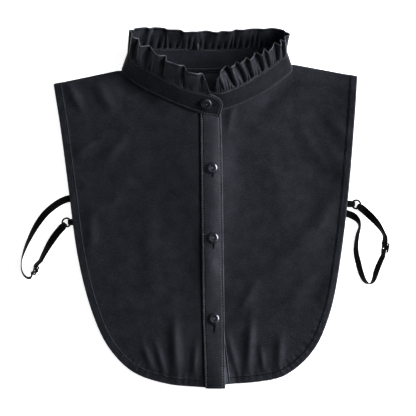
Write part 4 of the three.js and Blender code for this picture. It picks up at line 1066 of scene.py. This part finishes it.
def thread_finish(name, dark, light, shine):
    return noisy_finish(
        name, dark, light, (2600.0, 2.0, 0.0), (2600.0, 2.0, 0.4, 0.1), Base_Color=light,
        Roughness=0.45, Specular_IOR_Level=2 * shine, Sheen_Weight=shine, Sheen_Roughness=0.4)


def ribbed_finish(name, rib, warp):
    finish, tree, shader = new_finish(
        name, Base_Color=(0.0018, 0.0018, 0.0024), Roughness=0.55, Specular_IOR_Level=0.035,
        Sheen_Weight=0.012, Sheen_Roughness=0.35)
    cloth = add_node(tree, "UVMap", {"uv_map": "UVMap"}).outputs["UV"]
    ribs = wave(tree, cloth, rib * MM, Distortion=0.6)
    yarns = wave(tree, cloth, warp * MM, "Y", Distortion=0.4)
    fuzz = noise(tree, cloth, 1400.0, Detail=3.0)
    dye = between_colours(tree, fuzz, (0.0005, 0.0005, 0.0007), (0.0026, 0.0026, 0.0034))
    set_inputs(shader, {"Base Color": dye})
    stack_bumps(
        tree, shader, (ribs, 0.7, 0.22 * MM), (yarns, 0.5, 0.16 * MM), (fuzz, 0.3, 0.1 * MM))
    return finish


# Painted highlight: the topstitch thread is much lighter than the cloth, partly its own grey,
# partly for the light lines along its rows
highlit_topstitch_thread = thread_finish(
    "highlit_topstitch_thread", (0.035, 0.037, 0.043), (0.11, 0.115, 0.13), 0.25)
matt_thread = thread_finish("matt_thread", (0.0015, 0.0016, 0.002), (0.006, 0.0062, 0.008), 0.04)
button_resin = noisy_finish(
    "button_resin", (0.009, 0.01, 0.0135), (0.022, 0.0245, 0.033), (160.0, 6.0, 1.5),
    (420.0, 2.0, 0.12, 0.15), (0.17, 0.24), Base_Color=(0.006, 0.006, 0.007), Roughness=0.2,
    Specular_IOR_Level=0.6, Specular_Tint=(0.78, 0.86, 1.0), Coat_Weight=0.12, Coat_Roughness=0.1)
coated_steel = noisy_finish(
    "coated_steel", (0.001, 0.001, 0.0011), (0.004, 0.004, 0.0045), (900.0, 4.0, 0.0),
    (900.0, 4.0, 0.15, 0.08), (0.4, 0.6), Base_Color=(0.002, 0.002, 0.0022), Roughness=0.5,
    Specular_IOR_Level=0.05)
elastic_braid = ribbed_finish("elastic_braid", 0.9, 0.8)
tab_ribbon = ribbed_finish("tab_ribbon", 0.6, 0.6)
print("finishes", [f.name for f in (highlit_topstitch_thread, button_resin, elastic_braid, coated_steel)])

# %% [markdown]
# ## Stitches
# A machine stitch shows as a short, thick thread that dives into the cloth at both ends. One
# is modelled, from a ball stretched and bent, and then laid again and again along a row: each
# copy is turned to the run of the row and to the way the cloth faces there. All the stitches
# of a row are one mesh.

# %% One stitch
STITCH, STITCH_PITCH, BAND_PITCH = 2.2, 2.7, 2.5
TOPSTITCH = (STITCH, 0.5, 0.36)  # length, width and height
STITCH_TOP, STITCH_BEND = 0.35, 2.2
work_on(None)
bpy.ops.mesh.primitive_uv_sphere_add(
    segments=8, ring_count=5, radius=0.5, rotation=(0, math.pi / 2, 0))
ball = take_new()
stitch_points = np.array([vertex.co[:] for vertex in ball.data.vertices])
stitch_points[:, 2] += STITCH_TOP - STITCH_BEND * stitch_points[:, 0] ** 2
stitch_faces = np.array([(*face.vertices, face.vertices[-1])[:4] for face in ball.data.polygons])
bpy.data.objects.remove(ball)
print("a stitch has", len(stitch_faces), "faces")

# %% A row of stitches


def lay_stitches(name, places, size, finish):
    """One mesh of stitches. Each place is (middle, run direction, facing direction)."""
    middle, run, out = (np.array(column, float) for column in zip(*places))
    run = unit(run)
    out = unit(out - run * (out * run).sum(axis=1, keepdims=True))
    turns = np.stack([run, np.cross(out, run), out], axis=1)
    points = middle[:, None] + (stitch_points * np.array(size)) @ turns
    first = np.arange(len(places))[:, None, None] * len(stitch_points)
    faces = [tuple(dict.fromkeys(face)) for face in (stitch_faces + first).reshape(-1, 4).tolist()]
    hand_in(new_piece(name, points.reshape(-1, 3), faces, {}), finish)


def along_row(points, normals, pitch=STITCH_PITCH):
    """Places for stitches a pitch apart along a line of points on the cloth."""
    run = lengths_along(points)
    middles = np.arange(pitch / 2, run[-1], pitch)
    behind, at, ahead = (
        read_along(points, run, middles + way * STITCH / 2) for way in (-1, 0, 1))
    return list(zip(at, ahead - behind, read_along(normals, run, middles)))


def on_surface(top, x, y):
    """Points on a surface above the plan, and the directions in which it faces there."""
    reach = 0.4
    slope_x = (top(x + reach, y) - top(x - reach, y)) / (2 * reach)
    slope_y = (top(x, y + reach) - top(x, y - reach)) / (2 * reach)
    normals = np.stack([-slope_x, -slope_y, np.ones_like(x)], axis=1)
    return np.stack([x, y, top(x, y)], axis=1), normals


# %% Rows of stitches on the bib
ROW_TOP = 91  # the placket's rows end under the collar band
for side, line in side_lines.items():
    run = unit(np.gradient(line, axis=0)) * -np.sign(line[0, 0])
    x, y = (line + np.stack([-run[:, 1], run[:, 0]], axis=1) * HEM_SEAM).T
    keep = np.where(x < 0, x < placket_left_at(y) - 1, x > under_right_at(y) + 1)
    row = on_surface(lambda a, b: front_top(side, a, b), x[keep], y[keep])
    lay_stitches(f"{side}_hem_stitches", along_row(*row), TOPSTITCH, matt_thread)

row_y = np.linspace(placket_y[0] + 1, ROW_TOP, 400)
placket_places = []
for row_x in (placket_left_at(row_y) + PLACKET_SEAM, placket_right_at(row_y) - PLACKET_SEAM):
    placket_places += along_row(*on_surface(placket_top, row_x, row_y))
lay_stitches("placket_stitches", placket_places, TOPSTITCH, highlit_topstitch_thread)

# %% Rows of stitches on the collar band
foot = np.arange(len(band_sections)) * BAND_ROWS
tip = foot[-1] + np.arange(1, BAND_ROWS - 1)
border = np.concatenate([foot, tip, foot[::-1] + BAND_ROWS - 1])  # in order, round the tip
line, border_out = band_sheet[border], band_out[border]
inward = unit(np.cross(border_out, np.gradient(line, axis=0)))
upwards = band_sheet[foot + 1] - band_sheet[foot]
row = line + inward * np.sign((inward[: len(foot)] * upwards).sum()) * BAND_SEAM
keep = nearest_of(row, line)[0] > BAND_SEAM - 0.12
row, row_out = row[keep], border_out[keep]
lift = row_out * (BAND / 2 - BAND_GROOVE * SEAM_SINK)
band_places = along_row(row + lift, row_out, BAND_PITCH)
band_places += along_row(row - lift, -row_out, BAND_PITCH)
lay_stitches("band_stitches", band_places, TOPSTITCH, highlit_topstitch_thread)

# %% [markdown]
# ## Buttonholes
# A buttonhole's edge is worked over with close stitches that lie across it, and closed with a
# bar at its lower end. The upper end, a round eye for the shank, lies under the button. The
# stitches are laid in the buttonhole's own frame and set on the strip.

# %% Buttonhole stitches
BUTTONHOLE_STITCH, BUTTONHOLE_PITCH, BAR_STITCHES = 1.1, 0.42, 6


def buttonhole_places(slit, placement, level):
    across = BUTTONHOLE_WIDTH / 2 + BUTTONHOLE_STITCH / 2 - 0.1
    places = [
        ((side * across, -down, level), (1, 0, 0)) for side in (-1, 1)
        for down in np.arange(BUTTONHOLE_EYE, slit + 0.1, BUTTONHOLE_PITCH)]
    for step in range(BAR_STITCHES):
        across = BUTTONHOLE_PITCH * (step - (BAR_STITCHES - 1) / 2)
        places.append(((across, -slit - 0.75, level), (0, 1, 0)))
    turn = placement.to_3x3()
    return [(placement @ Vector(at), turn @ Vector(run), turn.col[2]) for at, run in places]


hole_places = []
for name, x, y, slit in PLACKET_BUTTONS:
    place = Matrix.Translation((x, y, PLACKET_BOTTOM + PLACKET + one_value(bib_lift, x, y)))
    for at, run, out in buttonhole_places(slit, place, 0):
        at.z = one_value(placket_top, at.x, at.y) - 0.02
        hole_places.append((at, run, out))
turned = collar_button_place @ Matrix.Rotation(math.pi / 2, 4, "Z")
hole_places += buttonhole_places(COLLAR_SLIT, turned, BAND / 2 - 0.03)
lay_stitches("buttonhole_stitches", hole_places, (BUTTONHOLE_STITCH, 0.4, 0.3), matt_thread)

# %% [markdown]
# ## Buttons
# A shirt button is turned from a disc: its border falls away in a cone with a round shoulder,
# the middle is dished, and two holes are drilled for the thread. One is modelled that way, with
# the cone and the dish inset on a cylinder, the shoulder bevelled, the holes cut through and
# every edge rounded, and it is copied to the four places. The cone is what the lamp draws as a
# crescent.

# %% One button
BUTTON_RADIUS, BUTTON_HEIGHT, DISH_DEPTH = 5.75, 2.4, 0.35
CONE, CONE_RISE, SHOULDER, FOOT_EDGE, FINE_EDGE = 1.9, 0.98, 0.9, 0.3, 0.14
SEW_HOLE_RADIUS, SEW_HOLE_SPACING = 0.8, 3.7
SIDE_HEIGHT = BUTTON_HEIGHT - CONE_RISE
INSETS = [
    # width and height of the cone's three steps, of the flat lip, and of the dish's two steps
    *((share * CONE, share * CONE_RISE) for share in (0.4, 0.52, 0.08)),
    (0.15, 0.03), (0.25, -0.3 * DISH_DEPTH), (0.8, -0.7 * DISH_DEPTH),
]
button = add_cylinder(72, BUTTON_RADIUS * MM, SIDE_HEIGHT * MM, (0, 0, SIDE_HEIGHT / 2 * MM))
choose(button, "FACE", lambda face: face.normal.z > 0.999)
for width, height in INSETS:
    bpy.ops.mesh.inset(thickness=width * MM, depth=height * MM)


def bevel_ends(offset, segments, wanted):
    """Bevels the button's edges whose two ends are both wanted."""
    points = button.data.vertices
    choose(button, "EDGE", lambda edge: all(wanted(points[i].co / MM) for i in edge.vertices))
    bpy.ops.mesh.bevel(offset=offset * MM, segments=segments, affect="EDGES")


bevel_ends(SHOULDER, 5, lambda at: math.hypot(at.x, at.y) > BUTTON_RADIUS - 0.1 and at.z > 0.1)
bevel_ends(FOOT_EDGE, 3, lambda at: at.z < 0.01)
for side in (-1, 1):
    middle = (0, side * SEW_HOLE_SPACING / 2 * MM, 0)
    drill = add_cylinder(20, SEW_HOLE_RADIUS * MM, 4 * BUTTON_HEIGHT * MM, middle)
    combine(button, drill, "DIFFERENCE")
apply_modifier(button, "BEVEL", width=FINE_EDGE * MM, segments=3, angle_limit=math.radians(35))
smooth_below(button, 50)
button_mesh = button.data
bpy.data.objects.remove(button)
print("a button has", len(button_mesh.polygons), "faces")

# %% Buttons and their thread in place
SHANK_RADIUS, SHANK, WINDING, COLLAR_BUTTON_TURN = 0.95, 1.8, 0.36, 25
STRANDS, STRAND = (-0.26, 0.26), (SEW_HOLE_SPACING - 1.7, 0.5, 0.45)
button_places = [
    (name, Matrix.Translation((
        x, y, PLACKET_BOTTOM + PLACKET + CLEARANCE + one_value(bib_lift, x, y))))
    for name, x, y, slit in PLACKET_BUTTONS]
button_places.append((
    "collar_button",
    collar_button_place @ Matrix.Translation((0, 0, BAND / 2 + CLEARANCE))
    @ Matrix.Rotation(math.radians(COLLAR_BUTTON_TURN), 4, "Z")))


def sewing_thread(name, place):
    """The thread of a button: two strands between its holes and the wound shank under it."""
    face, turn = BUTTON_HEIGHT - DISH_DEPTH + 0.05, place.to_3x3()
    strands = [
        (place @ Vector((across, 0, face)), turn.col[1], turn.col[2]) for across in STRANDS]
    lay_stitches(name, strands, STRAND, highlit_topstitch_thread)
    shank = add_cylinder(24, SHANK_RADIUS, SHANK, (0, 0, -SHANK / 2))
    choose(shank, "FACE", lambda face: abs(face.normal.z) < 0.5)
    bpy.ops.mesh.subdivide(number_cuts=9, quadcorner="STRAIGHT_CUT")
    work_on(bpy.data.objects[name])
    for vertex in shank.data.vertices:
        swell = 1 + 0.07 * math.cos(2 * math.pi * vertex.co.z / WINDING)
        vertex.co.x, vertex.co.y = vertex.co.x * swell, vertex.co.y * swell
    shank.data.transform(Matrix.Scale(MM, 4) @ place)
    shank.data.materials.append(matt_thread)
    shank.select_set(True)
    bpy.ops.object.join()


for name, place in button_places:
    button = place_new(name + "_resin", button_mesh.copy(), (0, 0, 0))
    in_metres = place.copy()
    in_metres.translation = place.translation * MM
    button.data.transform(in_metres)
    hand_in(button, button_resin, name)
    sewing_thread(name + "_thread", place)

# %% [markdown]
# ## Straps, tabs, rings and sliders
# Each side strap is narrow braided elastic. It leaves the back panel, passes through a slider,
# runs through a ring and comes back to the slider, and a short tab of cloth holds the ring
# under the hem. Their route is the construction's. Here the corners of each station of the
# node's mesh are read in order, and a finer ribbon with soft edges is lofted through them.

# %% Ribbons
HALF_PROFILE = [
    # across and through, as shares of half the width and half the thickness
    (-1.0, 0.0), (-0.985, 0.55), (-0.93, 0.9), (-0.7, 1.0), (-0.35, 0.94), (0.0, 1.0),
    (0.35, 0.94), (0.7, 1.0), (0.93, 0.9), (0.985, 0.55),
]
profile = np.concatenate([HALF_PROFILE, -np.array(HALF_PROFILE)])


def in_order(corners, before):
    """The four corners of a station, in the order of those of the station before it."""
    return min(
        permutations(corners),
        key=lambda some: sum(np.linalg.norm(a - b) for a, b in zip(some, before)))


def ribbon_stations(node):
    """The middle, width and thickness of a ribbon node at each station, from its inner end."""
    copy = node_copy(node)
    points = np.array([vertex.co[:] for vertex in copy.data.vertices]) / MM
    beside = [set() for _ in points]
    for edge in copy.data.edges:
        a, b = edge.vertices
        beside[a].add(b)
        beside[b].add(a)
    bpy.data.objects.remove(copy)
    ring = list(np.argsort(np.abs(points[:, 0]))[:4])
    seen, first = set(ring), points[ring[0]]
    ring.sort(key=lambda i: np.linalg.norm(points[i] - first))
    stations = [tuple(points[i] for i in ring)]
    while ring := sorted({n for i in ring for n in beside[i]} - seen):
        seen.update(ring)
        stations.append(in_order([points[i] for i in ring], stations[-1]))
    a, b, c, d = columns_of(stations)
    return (a + b + c + d) / 4, (c + d - a - b) / 2, (b + d - a - c) / 2


def ribbon(name, node, finish, steps):
    stations = ribbon_stations(node)
    places = np.linspace(0, 1, steps * (len(stations[0]) - 1) + 1)
    middle, width, through = (SmoothLine(row).at(places) for row in stations)
    points = middle[:, None] + profile / 2 @ np.stack([width, through], axis=1)
    rows, around = len(middle), len(profile)
    i, j = np.meshgrid(np.arange(rows - 1), np.arange(around), indexing="ij")
    here, beside = i * around + j, i * around + (j + 1) % around
    faces = np.stack([here, beside, beside + around, here + around], -1).reshape(-1, 4).tolist()
    faces += [list(range(around)), list(range((rows - 1) * around, rows * around))[::-1]]
    run, half_width = lengths_along(middle), np.linalg.norm(width, axis=1).mean() / 2
    uv = np.stack([np.repeat(run, around), np.tile(profile[:, 0] * half_width, rows)], axis=1)
    piece = new_piece(name, points.reshape(-1, 3), faces, {"UVMap": uv})
    choose(piece, "FACE")
    bpy.ops.mesh.normals_make_consistent(inside=False)
    smooth_below(piece, 60)
    hand_in(piece, finish, node)
    print(name, "is", round(run[-1]), "by", round(2 * half_width, 1), "mm")


for side in ("left", "right"):
    ribbon(side + "_strap_braid", side + "_strap", elastic_braid, 4)
    ribbon(side + "_tab_cloth", side + "_tab", tab_ribbon, 6)

# %% Rings and sliders
RING_WIRE, SLIDER_EDGE = 0.95, 0.32
for side in ("left", "right"):
    low, high = (np.array(corner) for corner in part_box(side + "_ring"))
    work_on(None)
    bpy.ops.mesh.primitive_torus_add(
        location=(low + high) / 2, major_radius=(high - low)[:2].mean() / 2 - RING_WIRE * MM,
        minor_radius=RING_WIRE * MM, major_segments=72, minor_segments=18)
    ring = take_new()
    ring.name = ring.data.name = side + "_wire_ring"
    bpy.ops.object.shade_smooth()
    hand_in(ring, coated_steel, side + "_ring")
    slider = node_copy(side + "_slider", side + "_steel_slider", angle=1)
    apply_modifier(
        slider, "BEVEL", width=SLIDER_EDGE * MM, segments=4, angle_limit=math.radians(30))
    smooth_below(slider, 40)
    hand_in(slider, coated_steel, side + "_slider")

# %% [markdown]
# ## The flat cloth of each sheet
# The UV map of a piece holds its cloth laid flat, once for its upper face and once for its lower
# one, and here its corners are read for each sheet. The ruffle's map is that of its strip with
# all its folds drawn out.

# %% Sheets


def declare(name, held, *rests_on):
    piece = bpy.data.objects[name]
    corners = np.zeros(2 * len(piece.data.loops))
    piece.data.uv_layers["UVMap"].data.foreach_get("uv", corners)
    corners = corners.reshape(-1, 2)


declare("back_cloth", "laid")
for side in ("left", "right"):
    declare(f"{side}_front_cloth", "laid", "back_cloth")
declare("under_placket_cloth", "laid", "back_cloth")
declare("button_placket_cloth", "laid", "left_front_cloth", "right_front_cloth")
declare("collar_band_cloth", "folded", "left_front_cloth", "right_front_cloth", "back_cloth")
declare("ruffle_cloth", "gathered", "collar_band_cloth")
